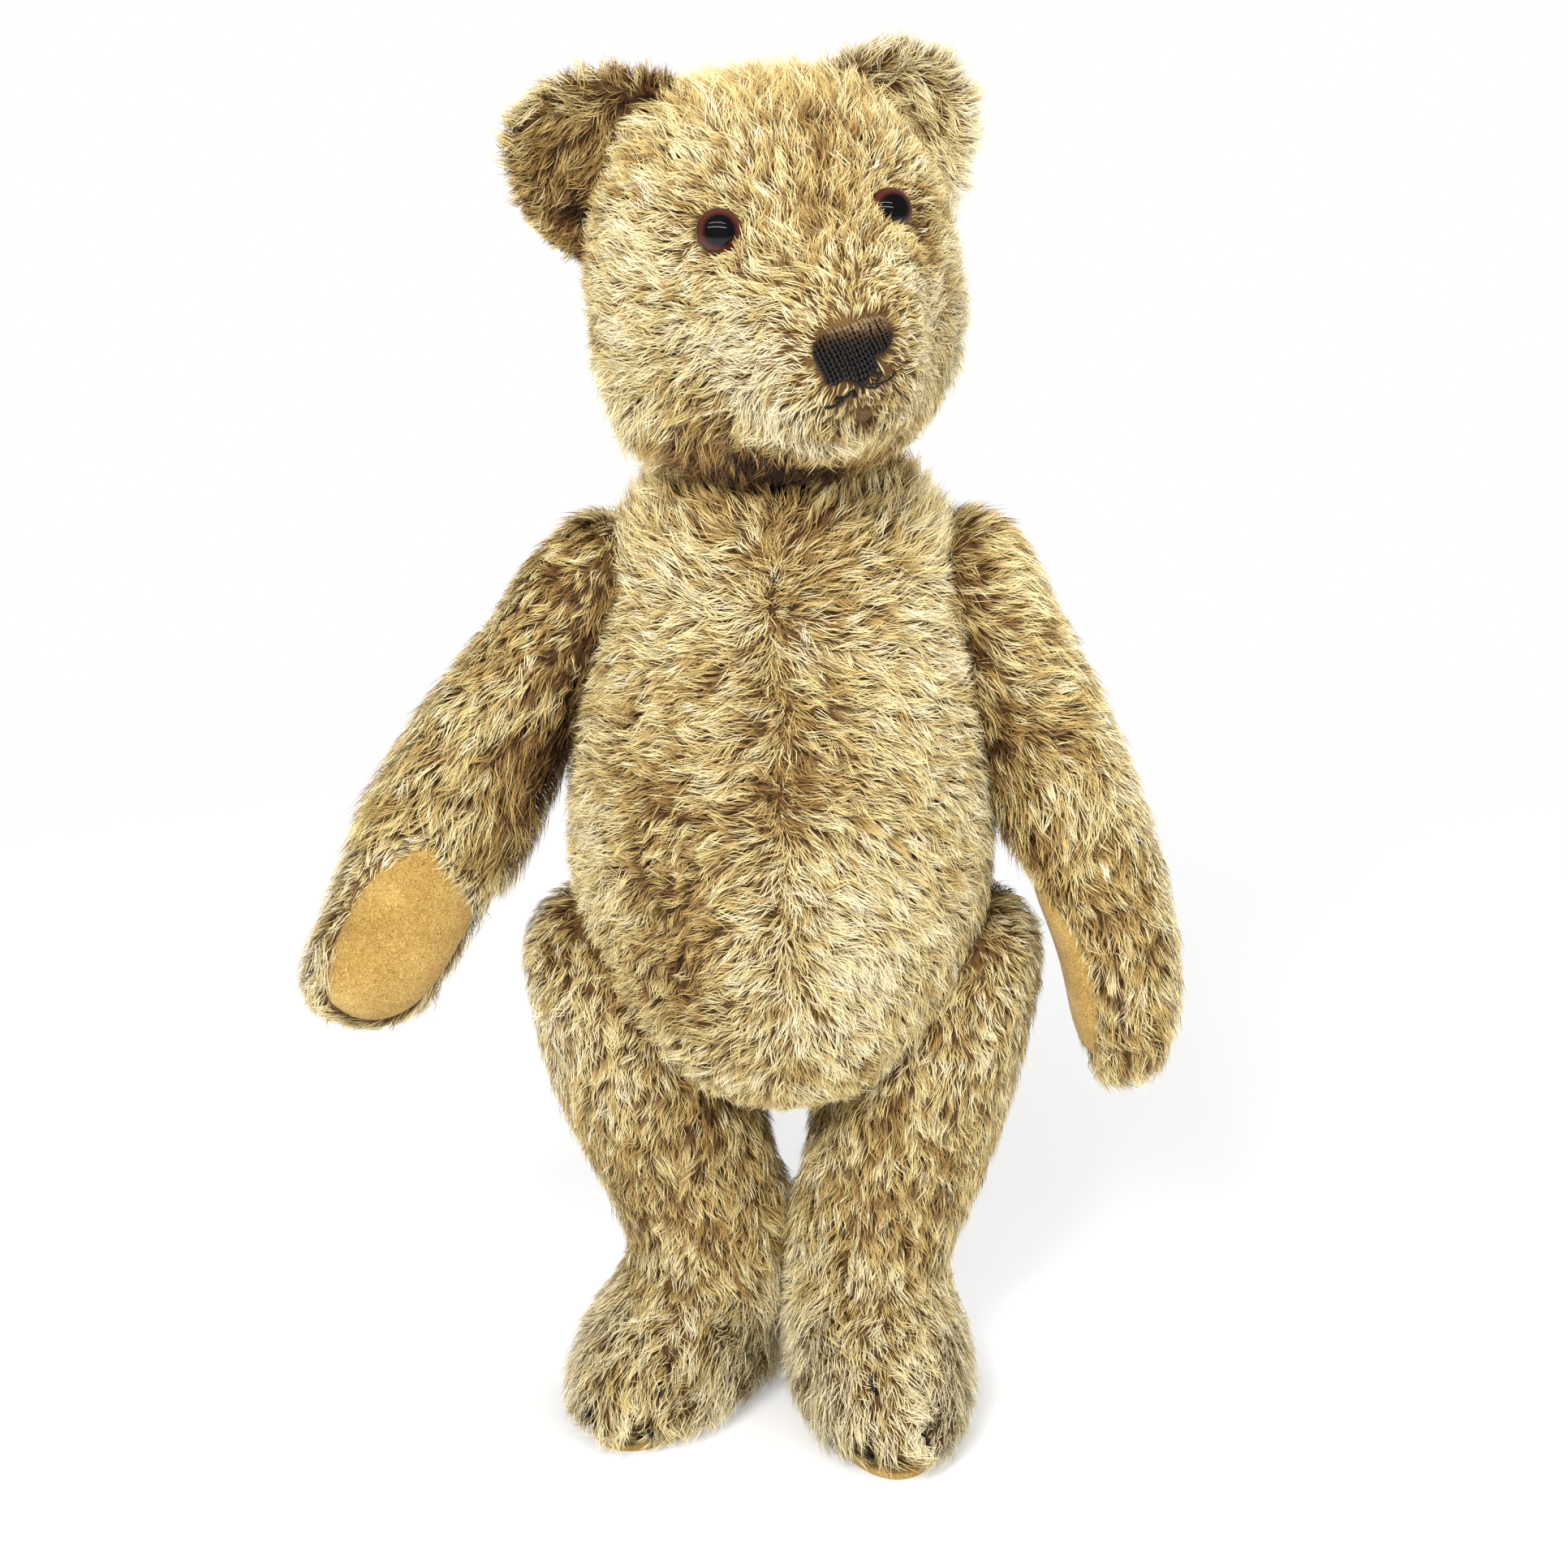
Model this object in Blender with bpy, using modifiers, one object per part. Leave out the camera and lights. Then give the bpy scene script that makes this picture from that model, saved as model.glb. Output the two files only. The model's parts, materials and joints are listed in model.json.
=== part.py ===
"""A worn, disc-jointed mohair teddy bear, standing on its felt soles.

Metres, +Z up. The bear faces -Y, so its own left side is +X. The origin is on the floor, under the middle of
the whole object's box. One arm hangs further out and the feet point forwards, so the bear's own middle line
stands a little to the left of the origin and behind it.

Five soft forms (torso, head, arms, legs) are lofted through oval sections. Each form is cut into the cloth
panels that were sewn together, and its inside is the wood-wool stuffing. At the neck, shoulders and hips two
hardboard discs clamp the cloths of torso and limb on a cotter pin, and the limb turns on that pin.
"""

import math

import bmesh
import bpy
from mathutils import Matrix, Vector

MM = 0.001

# Gaps and thicknesses, in metres.
GAP = 0.3 * MM  # between pieces that touch
COVER = 5.0 * MM  # cloth and the matted half of its pile
SEAT_COVER = 3.0 * MM  # the cover where a disc squeezes it
DISC = 3.0 * MM
WASHER = 1.0 * MM
WASHER_R = 8.0 * MM
WIRE = 0.7 * MM  # radius of the pin's wire
STRAND = 0.75 * MM  # each strand of the doubled wire from the pin's axis
CURL = 3.4 * MM  # radius of the pin's curled ends
EYE_LOOP = 3.2 * MM  # radius of the pin's eye
PIN_HOLE = 2.4 * MM  # radius of the hole that the doubled wire turns in
FELT = 2.5 * MM  # sole thickness
FAR = 0.30  # reach of a cutter that has no end
MIDDLE = Matrix.Translation((14.3 * MM, 14.8 * MM, 0))  # from the origin to the bear's own middle line
ABOVE = 0.03  # how far a seat cutter reaches past the joint plane
LIMB_SEAT_R = (0.050, 0.070)  # a limb is cut flat this far out, and further towards the torso
HARDWARE_ROOM = (9.6 * MM, 10.5 * MM)  # radius and depth of the stuffing's pocket for washer and curled wire

SEGMENTS = 16  # sides of a soft form's sections
LIMB_SEGMENTS = 12

# The head leans to the bear's right and looks to its left.
NECK = Vector((0.0, 0.002, 0.300))
NECK_LEAN = math.radians(-5.0)
NECK_TURN = math.radians(16.0)
NECK_DISC_R = 21 * MM

SHOULDER_DISC_R = 14 * MM
HIP_DISC_R = 18 * MM

# Torso sections: height, half width, front, back, all in mm.
TORSO = [
    (100, 12, 14, 12),
    (105, 25, 30, 25),
    (116, 40, 45, 38),
    (136, 53, 56, 46),
    (162, 61, 61, 50),
    (190, 63, 61, 50),
    (216, 61.5, 57, 48),
    (240, 58, 51, 46),
    (262, 53, 44, 43),
    (278, 45, 38, 38),
    (290, 37, 33, 33),
    (304, 32, 30, 30),
]

# Head sections in the neck's frame: distance forward, centre height, half width, down, up, all in mm.
HEAD_SQUARENESS = 0.8  # 1 is an oval; less fills out the jowls and the blunt muzzle
HEAD = [
    (-50, 54, 11, 11, 11),
    (-46, 54, 24, 24, 24),
    (-36, 53, 37.5, 39, 39),
    (-20, 52, 47.5, 54, 49),
    (-4, 52, 52, 58, 53.5),
    (12, 51, 52, 57, 52.5),
    (26, 49, 47, 51, 48),
    (38, 47, 39, 46, 39.5),
    (48, 45, 31, 39, 29.5),
    (58, 43.5, 26.5, 32, 22.5),
    (69, 43, 23.5, 26.5, 19),
    (78, 43, 17.5, 18.5, 14.5),
    (83, 43, 9, 9, 8),
]

# Arm sections: distance down from the joint, outward, forward, half thickness, half width in mm, twist in
# degrees.
LEFT_ARM = [
    (-21, 9, 0, 5, 8, 0),
    (-18, 10, 0, 11, 15, 0),
    (-10, 11.5, 0, 15.5, 21, 0),
    (0, 13, 0, 17.5, 23.5, 0),
    (20, 16.5, 1, 19, 23.5, 0),
    (45, 21, 3, 20, 23, 5),
    (70, 25, 5, 20, 22, 8),
    (93, 27, 7, 18.5, 21, 12),
    (106, 28, 8, 17, 20.5, 15),
    (121, 28, 9, 16, 20.5, 15),
    (136, 26, 9, 14.5, 20, 15),
    (147, 24, 8, 10, 15, 15),
    (152, 23, 8, 5, 8, 15),
]
RIGHT_ARM = [
    (-21, 9, 0, 5, 8, 0),
    (-18, 10, 0, 11, 15, 0),
    (-10, 11.5, 0, 15.5, 21, 0),
    (0, 13, 0, 17.5, 23.5, 4),
    (20, 17, 1, 18, 24, 16),
    (44, 25, 3, 18, 24.5, 38),
    (67, 32, 6, 17.5, 24.5, 55),
    (89, 38, 9, 16.5, 23.5, 65),
    (104, 42, 11, 16, 23, 70),
    (118, 45, 12, 15.5, 23, 72),
    (131, 47.5, 12.5, 14, 22, 72),
    (140, 49, 12, 11, 17, 72),
    (146, 50, 12, 5, 8, 72),
]
ARM_FORWARD = math.radians(6.0)  # how far an arm hangs in front of straight down
PAD_START = {"left": 98 * MM, "right": 88 * MM}
ARM_REACH = 0.10  # half size of the cutters that split an arm into panels

# Leg sections: height, outward, forward, half width, front, back in mm, toe-out in degrees.
LEGS = {
    "left": [
        (165, 58, -2, 8, 9, 8, 0),
        (162, 58, -2, 14, 17, 15, 0),
        (154, 58, -2, 20, 25, 22, 0),
        (142, 56, -2, 22.5, 29, 26, 0),
        (125, 51, -1, 24.5, 29.5, 27, 0),
        (103, 43, 0, 27, 28.5, 27, 1),
        (82, 35.5, 0, 27, 26, 26, 2),
        (62, 30, 0, 24.5, 24.5, 25, 4),
        (48, 28, 0, 22.5, 27, 25, 5),
        (38, 28.5, 1, 24, 40, 26, 6),
        (26, 30.5, 1, 26, 51, 27, 6),
        (12, 31.5, 2, 26.5, 56, 27, 6),
        (2.8, 31.5, 2, 25.5, 55, 26, 6),
    ],
    "right": [
        (165, 58, -2, 8, 9, 8, 0),
        (162, 58, -2, 14, 17, 15, 0),
        (154, 58, -2, 20, 25, 22, 0),
        (142, 56, -2, 22.5, 29, 26, 0),
        (125, 50, -1, 24.5, 29.5, 27, 0),
        (103, 40.5, 0, 27, 28, 27, 4),
        (82, 31.5, 0, 26.5, 26, 26, 10),
        (62, 25.5, 0, 23.5, 24.5, 25, 17),
        (48, 24.5, 0, 22.5, 27, 25, 22),
        (38, 27, 1, 24, 40, 25, 25),
        (26, 30, 1, 26, 50, 24, 27),
        (12, 31, 2, 26.5, 54, 24, 27),
        (2.8, 31, 2, 25.5, 53, 23, 27),
    ],
}
STEP = {"left": 8 * MM, "right": -4 * MM}  # the bear's left foot stands a little ahead
HIP_HEIGHT = 0.136  # the step grows from here down
LEG_REACH = 0.12  # half size of the cutters that split a leg into panels

COLOURS = {
    "mohair": ((0.52, 0.36, 0.17), 0.95, 0.0),
    "ear_mohair": ((0.40, 0.25, 0.11), 0.95, 0.0),
    "felt": ((0.60, 0.38, 0.13), 0.9, 0.0),
    "wood_wool": ((0.62, 0.48, 0.27), 0.9, 0.0),
    "glass": ((0.12, 0.02, 0.01), 0.05, 0.0),
    "thread": ((0.02, 0.015, 0.01), 0.7, 0.0),
    "hardboard": ((0.30, 0.20, 0.11), 0.8, 0.0),
    "steel": ((0.45, 0.43, 0.40), 0.4, 1.0),
}


def clear_scene():
    for obj in list(bpy.data.objects):
        bpy.data.objects.remove(obj, do_unlink=True)


def new_collection(name):
    collection = bpy.data.collections.new(name)
    bpy.context.scene.collection.children.link(collection)
    return collection


def make_material(name):
    colour, roughness, metallic = COLOURS[name]
    material = bpy.data.materials.new(name)
    material.use_nodes = True
    shader = material.node_tree.nodes["Principled BSDF"]
    shader.inputs["Base Color"].default_value = (*colour, 1.0)
    shader.inputs["Roughness"].default_value = roughness
    shader.inputs["Metallic"].default_value = metallic
    material.diffuse_color = (*colour, 1.0)
    return material


clear_scene()
PARTS = new_collection("teddy_bear")
CUTTERS = new_collection("cutters")
MATERIALS = {name: make_material(name) for name in COLOURS}


# Helpers: objects, lofts and cuts.


def link(name, data, collection, matrix=None):
    obj = bpy.data.objects.new(name, data)
    collection.objects.link(obj)
    if matrix is not None:
        obj.matrix_world = matrix
    if collection is CUTTERS:
        obj.hide_render = True
        obj.display_type = "WIRE"
    return obj


def mesh_from(name, bm):
    mesh = bpy.data.meshes.new(name)
    bm.to_mesh(mesh)
    bm.free()
    return mesh


def frame_at(origin, side, up):
    """A frame whose X and Y are the two given directions."""
    matrix = Matrix((side, up, side.cross(up))).transposed().to_4x4()
    matrix.translation = origin
    return matrix


def oval(bm, frame, half_width, front, back, segments, squareness=1.0):
    """One ring of points, with a front half (-Y) and a back half of different depth."""
    ring = bmesh.ops.create_circle(bm, segments=segments, radius=1.0)["verts"]
    for vert in ring:
        x, y = (math.copysign(abs(value) ** squareness, value) for value in vert.co.xy)
        vert.co = frame @ Vector((x * half_width, y * (front if y < 0 else back), 0))
    return ring


def rectangle(bm, frame, low, high):
    """One ring of four points between two corners."""
    corners = [(low[0], low[1]), (high[0], low[1]), (high[0], high[1]), (low[0], high[1])]
    return [bm.verts.new(frame @ Vector((x, y, 0))) for x, y in corners]


def skin(bm, rings):
    """Joins each ring to the next, point by point, so that a twisted form can't slip, and closes the ends."""
    for lower, upper in zip(rings, rings[1:]):
        for i, vert in enumerate(lower):
            after = (i + 1) % len(lower)
            bm.faces.new((vert, lower[after], upper[after], upper[i]))
    bm.faces.new(rings[0])
    bm.faces.new(rings[-1])
    bmesh.ops.triangulate(bm, faces=bm.faces)
    bmesh.ops.recalc_face_normals(bm, faces=bm.faces)
    for face in bm.faces:
        face.smooth = True


def loft(name, sections, segments, squareness=1.0):
    """A closed form through (frame, half width, front, back) sections."""
    bm = bmesh.new()
    skin(bm, [oval(bm, *section, segments, squareness) for section in sections])
    return link(name, mesh_from(name, bm), CUTTERS)


def shrunk(rings, inset, start_slack=0.0, end_slack=0.0, open_end=False):
    """The rings of the smaller form inside another. Its ends stand back from the next ring by the slack."""
    kept = rings[1:] if open_end else rings[1:-1]
    inner = [(frame.copy(), *(radius - inset for radius in radii)) for frame, *radii in kept]
    for end, neighbour, slack in ((0, 1, start_slack), (-1, -2, end_slack)):
        way = inner[neighbour][0].translation - inner[end][0].translation
        inner[end][0].translation += way.normalized() * slack
    return inner


def fattened(source, distance, name):
    """A copy of a form with every point moved out along its normal."""
    bm = bmesh.new()
    bm.from_mesh(source.data)
    bm.normal_update()
    for vert, normal in [(vert, vert.normal.copy()) for vert in bm.verts]:
        vert.co += normal * distance
    return link(name, mesh_from(name, bm), CUTTERS)


def box_cutter(name, low, high, frame):
    bm = bmesh.new()
    bmesh.ops.create_cube(bm, size=1.0)
    for vert in bm.verts:
        spot = (low[i] + (vert.co[i] + 0.5) * (high[i] - low[i]) for i in range(3))
        vert.co = Vector(spot)
    return link(name, mesh_from(name, bm), CUTTERS, frame)


def cone_cutter(name, frame, bottom, top, bottom_r, top_r, segments=32):
    """A round cutter along the frame's Z."""
    bm = bmesh.new()
    bmesh.ops.create_cone(
        bm,
        cap_ends=True,
        segments=segments,
        radius1=bottom_r,
        radius2=top_r,
        depth=top - bottom,
        matrix=Matrix.Translation((0, 0, (bottom + top) / 2)),
    )
    return link(name, mesh_from(name, bm), CUTTERS, frame)


def cut(obj, cutters, operation="DIFFERENCE"):
    """EXACT leaves slits where these thin covers meet a curved cutter, so the MANIFOLD solver cuts them."""
    for cutter in cutters:
        modifier = obj.modifiers.new(cutter.name, "BOOLEAN")
        modifier.operation = operation
        modifier.object = cutter
        modifier.solver = "MANIFOLD"


def part(name, source, material, pivot, keep=(), remove=()):
    """A part that starts as a copy of a form, keeps what is inside some cutters and loses others."""
    obj = link(name, source.data.copy(), PARTS, source.matrix_world)
    finish(obj, material, pivot)
    cut(obj, keep, "INTERSECT")
    cut(obj, remove, "DIFFERENCE")


def finish(obj, material, pivot):
    """Gives a part its material and its joint's empty as parent."""
    obj.data.materials.clear()
    obj.data.materials.append(MATERIALS[material])
    if pivot is not None:
        world = obj.matrix_world.copy()
        obj.parent = pivot
        obj.matrix_parent_inverse = pivot.matrix_world.inverted()
        obj.matrix_world = world


def empty(name, frame):
    obj = link(name, None, PARTS, frame)
    obj.empty_display_size = 0.03
    bpy.context.view_layer.update()
    return obj


# The joints: each frame sits on the plane where limb meets torso, with Z out of the torso.


def neck_frame():
    lean = Matrix.Rotation(NECK_LEAN, 4, "Y")
    turn = Matrix.Rotation(NECK_TURN, 4, "Z")
    return MIDDLE @ Matrix.Translation(NECK) @ lean @ turn


def side_frame(centre, tilt_degrees, side):
    """A shoulder or hip: Z points outwards and up by the tilt, and Y points forwards."""
    tilt = math.radians(tilt_degrees)
    out = Vector((side * math.cos(tilt), 0, math.sin(tilt)))
    forward = Vector((0, -1, 0))
    across = forward.cross(out)
    matrix = Matrix((across, forward, out)).transposed().to_4x4()
    matrix.translation = Vector((side * centre[0], centre[1], centre[2]))
    return MIDDLE @ matrix


JOINTS = {
    "neck": (neck_frame(), NECK_DISC_R),
    "left_shoulder": (side_frame((0.047, 0, 0.258), 12, 1), SHOULDER_DISC_R),
    "right_shoulder": (side_frame((0.046, 0, 0.258), 14, -1), SHOULDER_DISC_R),
    "left_hip": (side_frame((0.043, 0.002, 0.136), -24, 1), HIP_DISC_R),
    "right_hip": (side_frame((0.043, 0.002, 0.136), -24, -1), HIP_DISC_R),
}
PIVOTS = {name: empty(f"{name}_pivot", frame) for name, (frame, _) in JOINTS.items()}


def seat_cutters(joint, into_torso):
    """What a joint takes from a cover, from the hollow inside it, and from the stuffing."""
    frame, disc_r = JOINTS[joint]
    sign = -1 if into_torso else 1
    label = f"{joint}_{'torso' if into_torso else 'limb'}"

    def span(name, start, end, start_r, end_r, segments=24):
        """A cutter between two depths, measured from the joint plane into this side."""
        low, high = sorted((sign * start, sign * end))
        radii = (start_r, end_r) if sign * start < sign * end else (end_r, start_r)
        return cone_cutter(f"{label}_{name}_cutter", frame, low, high, *radii, segments)

    wall = GAP + SEAT_COVER
    disc_back = wall + 2 * GAP + DISC
    room_r, room_depth = HARDWARE_ROOM
    seat_r = (FAR / 3, FAR / 3) if into_torso or joint == "neck" else LIMB_SEAT_R
    return {
        "plane": span("plane", GAP, GAP - ABOVE, *seat_r),
        "hollow": span("hollow", wall, wall - ABOVE, *seat_r),
        "stuffing": span("stuffing", wall + GAP, wall + GAP - ABOVE, *seat_r),
        "disc": span("disc", wall, disc_back, disc_r + GAP, disc_r + GAP),
        "hardware": span("hardware", disc_back - GAP, disc_back + room_depth, room_r, room_r, 12),
        "hole": span("hole", -2 * wall, 2 * wall, PIN_HOLE, PIN_HOLE, 8),
    }


def tube(name, points, radius, material, pivot, resolution=0, frame=None):
    """A round wire or thread through some points, with closed ends."""
    curve = bpy.data.curves.new(name, "CURVE")
    curve.dimensions = "3D"
    curve.bevel_depth = radius
    curve.bevel_resolution = resolution
    curve.use_fill_caps = True
    spline = curve.splines.new("POLY")
    spline.points.add(len(points) - 1)
    for point, spot in zip(spline.points, points):
        point.co = (*spot, 1.0)
    finish(link(name, curve, PARTS, frame), material, pivot)


# Hardware: hardboard discs, steel washers and the cotter pin, on the joint's axis.


def turned_ring(name, joint, bottom, top, outer_r, inner_r, material, pivot, steps):
    """A flat ring: a rectangle at +X, run down its outer side, turned about Z."""
    mesh = bpy.data.meshes.new(name)
    corners = [(outer_r, 0, top), (outer_r, 0, bottom), (inner_r, 0, bottom), (inner_r, 0, top)]
    mesh.from_pydata(corners, [(0, 1), (1, 2), (2, 3), (3, 0)], [])
    obj = link(name, mesh, PARTS, JOINTS[joint][0])
    screw = obj.modifiers.new("turn", "SCREW")
    screw.steps = screw.render_steps = steps
    screw.use_merge_vertices = True
    screw.merge_threshold = 0.00001
    finish(obj, material, pivot)


def arc(centre, radius, start_degrees, end_degrees, count):
    """Points (x, z) on an arc, both ends included."""
    step = (end_degrees - start_degrees) / (count - 1)
    angles = [math.radians(start_degrees + step * i) for i in range(count)]
    return [(centre[0] + radius * math.cos(a), centre[1] + radius * math.sin(a)) for a in angles]


def cotter_pin(joint, stack):
    """One wire: a curled end, a strand out to the eye, round it, and back to the other curled end."""
    reach = stack + WIRE
    first = [(x, -STRAND, z) for x, z in arc((-CURL, -reach - GAP), CURL, 180, 360, 6)]
    last = [(-x, -y, z) for x, y, z in reversed(first)]
    loop = arc((0, reach + EYE_LOOP), EYE_LOOP, -90, 270, 11)
    eye = [(x, STRAND * (2 * i / (len(loop) - 1) - 1), z) for i, (x, z) in enumerate(loop)]
    points = first + eye + last
    tube(f"{joint}_pin", points, WIRE, "steel", PIVOTS[joint], 1, JOINTS[joint][0])


def hardware(joint):
    _, disc_r = JOINTS[joint]
    disc_face = 2 * GAP + SEAT_COVER
    washer_face = disc_face + DISC + GAP
    stack = washer_face + WASHER
    hole_r = PIN_HOLE - GAP
    for label, sign, pivot in (("limb", 1, PIVOTS[joint]), ("torso", -1, None)):
        disc = sorted((sign * disc_face, sign * (disc_face + DISC)))
        turned_ring(f"{joint}_{label}_disc", joint, *disc, disc_r, hole_r, "hardboard", pivot, 16)
        washer = sorted((sign * washer_face, sign * stack))
        turned_ring(f"{joint}_{label}_washer", joint, *washer, WASHER_R, hole_r, "steel", pivot, 12)
    cotter_pin(joint, stack + GAP)


# Torso: two panels with a seam down the front and the back.


def torso():
    sections = [
        (MIDDLE @ Matrix.Translation((0, 0, z * MM)), w * MM, f * MM, b * MM) for z, w, f, b in TORSO
    ]
    form = loft("torso_form", sections, SEGMENTS)
    hollow = loft("torso_hollow", shrunk(sections, COVER, open_end=True), SEGMENTS)
    seats = [seat_cutters(joint, True) for joint in JOINTS]
    cut(hollow, [seat["hollow"] for seat in seats])
    openings = [hollow] + [seat[key] for seat in seats for key in ("plane", "disc", "hole")]
    for side, sign in (("left", 1), ("right", -1)):
        low, high = sorted((sign * GAP / 2, sign * FAR))
        half = box_cutter(f"torso_{side}_half", (low, -FAR, -FAR), (high, FAR, 2 * FAR), MIDDLE)
        part(f"torso_{side}_panel", form, "mohair", None, keep=[half], remove=openings)
    core = loft("torso_core", shrunk(sections, COVER + GAP, GAP, open_end=True), SEGMENTS)
    pockets = [seat[key] for seat in seats for key in ("stuffing", "disc", "hardware")]
    part("torso_stuffing", core, "wood_wool", None, remove=pockets)


# Head: two cheeks and a gusset over the top, with ears, glass eyes and an embroidered nose.

# Each eye is this far sideways and forward of the neck.
EYE_SPOT = {"left": (26.5 * MM, 44.5 * MM), "right": (24.5 * MM, 44.5 * MM)}
EYE_R = 6 * MM
EYE_DOME = 4.2 * MM  # height of the glass in front of its rim
EYE_BACK = 1.6 * MM  # and behind it
EYE_SINK = 1.0 * MM  # how far the rim sits in the cover
SHANK_WIRE = 0.6 * MM
SHANK_LOOP = 2.2 * MM
SHANK_LENGTH = 6.0 * MM
SHANK_ROOM = (3.6 * MM, 15 * MM)  # radius and depth of the hole that the loop stands in
SOCKET = 3.0 * MM
EYE_LEAN = Vector((0.52, -0.62, 0.59)).normalized()
GUSSET = [(-60, 17), (-30, 24), (0, 26), (28, 20), (50, 12.5), (100, 11.5)]  # forward, half width, mm
GUSSET_FLOOR, GUSSET_RISE = 16, 0.42  # its floor's height in mm, and its rise per mm forward
GUSSET_NOSE = 46  # its floor at the nose
EAR_ANGLE = math.radians(52)
EAR_OUTWARD = math.radians(16)
EAR_RADII = (29.5 * MM, 15 * MM, 36 * MM)
EAR_CLOTH = 3 * MM
EAR_BASE = 12 * MM  # how far an ear runs down past its middle
EAR_SEAT = 47 * MM  # from the skull's middle to the ear's
SKULL = Vector((0, 3 * MM, 52 * MM))
NOSE = (10.8 * MM, 8.4 * MM, 45 * MM)  # half width, half height, centre height
NOSE_DEPTH = (60 * MM, 120 * MM)  # the nose's cutter starts and ends this far ahead of the neck
NOSE_CORNER = 3 * MM
NOSE_THREAD = 2.2 * MM
MOUTH_THREAD = 0.6 * MM  # radius
MOUTH = [(0, 2.5), (0.5, 5), (-2, 8), (-6, 9.5), (-10, 10)]  # sideways, and down from the nose, mm


def head_sections():
    sections = []
    for forward, height, width, down, up in HEAD:
        spot = Vector((0, -forward * MM, height * MM))
        ring_frame = frame_at(spot, Vector((1, 0, 0)), Vector((0, 0, 1)))
        sections.append((neck_frame() @ ring_frame, width * MM, down * MM, up * MM))
    return sections


def gusset_cutter(name, spread):
    """The strip over the head, from the nose up and back to the nape: walls upright, floor sloping back."""
    bm = bmesh.new()
    rings = []
    for forward, half_width in GUSSET:
        floor = (GUSSET_NOSE if forward > 60 else GUSSET_FLOOR + GUSSET_RISE * forward) * MM
        spot = Vector((0, -forward * MM, 0))
        frame = frame_at(spot, Vector((1, 0, 0)), Vector((0, 0, 1)))
        wide = half_width * MM + spread
        rings.append(rectangle(bm, frame, (-wide, floor - spread), (wide, FAR)))
    skin(bm, rings)
    return link(name, mesh_from(name, bm), CUTTERS, neck_frame())


def surface_spot(form, start, direction):
    """Where a ray meets a form, and the outward normal there."""
    hit, spot, normal, _ = form.ray_cast(start, direction)
    if not hit:
        raise ValueError("the ray misses the form")
    return spot, normal


def eye_frame(form, side, sign):
    """The eye's place: its Z points out of the head."""
    sideways, ahead = EYE_SPOT[side]
    start = neck_frame() @ Vector((sign * sideways, -ahead, 0.2))
    down = neck_frame().to_3x3() @ Vector((0, 0, -1))
    spot, _ = surface_spot(form, start, down)
    out = neck_frame().to_3x3() @ Vector((sign * EYE_LEAN.x, EYE_LEAN.y, EYE_LEAN.z))
    side = out.cross(Vector((0, 0, 1))).normalized()
    return frame_at(spot, side, out.cross(side))


def eye(side, frame):
    """A domed glass button, and the wire loop by which it was sewn in."""
    dome = bmesh.new()
    bmesh.ops.create_uvsphere(dome, u_segments=12, v_segments=6, radius=EYE_R)
    for vert in dome.verts:
        vert.co.z *= (EYE_DOME if vert.co.z > 0 else EYE_BACK) / EYE_R
    bmesh.ops.recalc_face_normals(dome, faces=dome.faces)
    seat = frame @ Matrix.Translation((0, 0, -EYE_SINK))
    glass = link(f"{side}_eye_glass", mesh_from("glass", dome), PARTS, seat)
    finish(glass, "glass", PIVOTS["neck"])
    top = -EYE_BACK - SHANK_WIRE - GAP
    loop = [(x, 0, z) for x, z in arc((0, top - SHANK_LENGTH), SHANK_LOOP, 60, -240, 12)]
    wire = [(SHANK_LOOP / 2, 0, top), *loop, (-SHANK_LOOP / 2, 0, top)]
    tube(f"{side}_eye_shank", wire, SHANK_WIRE, "steel", PIVOTS["neck"], frame=seat)


def ear_frame(sign):
    """An ear's place on the skull: Z points out along it, -Y is the side that it opens to."""
    out = Vector((sign * math.sin(EAR_ANGLE), 0, math.cos(EAR_ANGLE)))
    facing = Vector((sign * math.sin(EAR_OUTWARD), -math.cos(EAR_OUTWARD), 0))
    facing = (facing - out * facing.dot(out)).normalized()
    across = (-facing).cross(out)
    frame = Matrix((across, -facing, out)).transposed().to_4x4()
    frame.translation = SKULL + out * EAR_SEAT
    return neck_frame() @ frame


def ball(name, radii, frame):
    bm = bmesh.new()
    bmesh.ops.create_uvsphere(bm, u_segments=14, v_segments=8, radius=1.0)
    bmesh.ops.scale(bm, vec=radii, verts=bm.verts)
    return link(name, mesh_from(name, bm), CUTTERS, frame)


def ear(side, sign, clear_of_head):
    """Two cloths, one cupped in the other, open to the front and cut to the head's curve."""
    frame = ear_frame(sign)
    front_half = box_cutter(f"{side}_ear_half", (-FAR, 0, -FAR), (FAR, FAR, FAR), frame)
    lower = box_cutter(f"{side}_ear_base", (-FAR, -FAR, -FAR), (FAR, FAR, -EAR_BASE), frame)
    for layer, inset in (("back", 0.0), ("front", EAR_CLOTH + GAP)):
        name = f"{side}_ear_{layer}"
        outer = ball(f"{name}_form", [radius - inset for radius in EAR_RADII], frame)
        inner = ball(f"{name}_inside", [radius - inset - EAR_CLOTH for radius in EAR_RADII], frame)
        away = [inner, lower, clear_of_head]
        part(name, outer, "ear_mohair", PIVOTS["neck"], keep=[front_half], remove=away)


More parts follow.
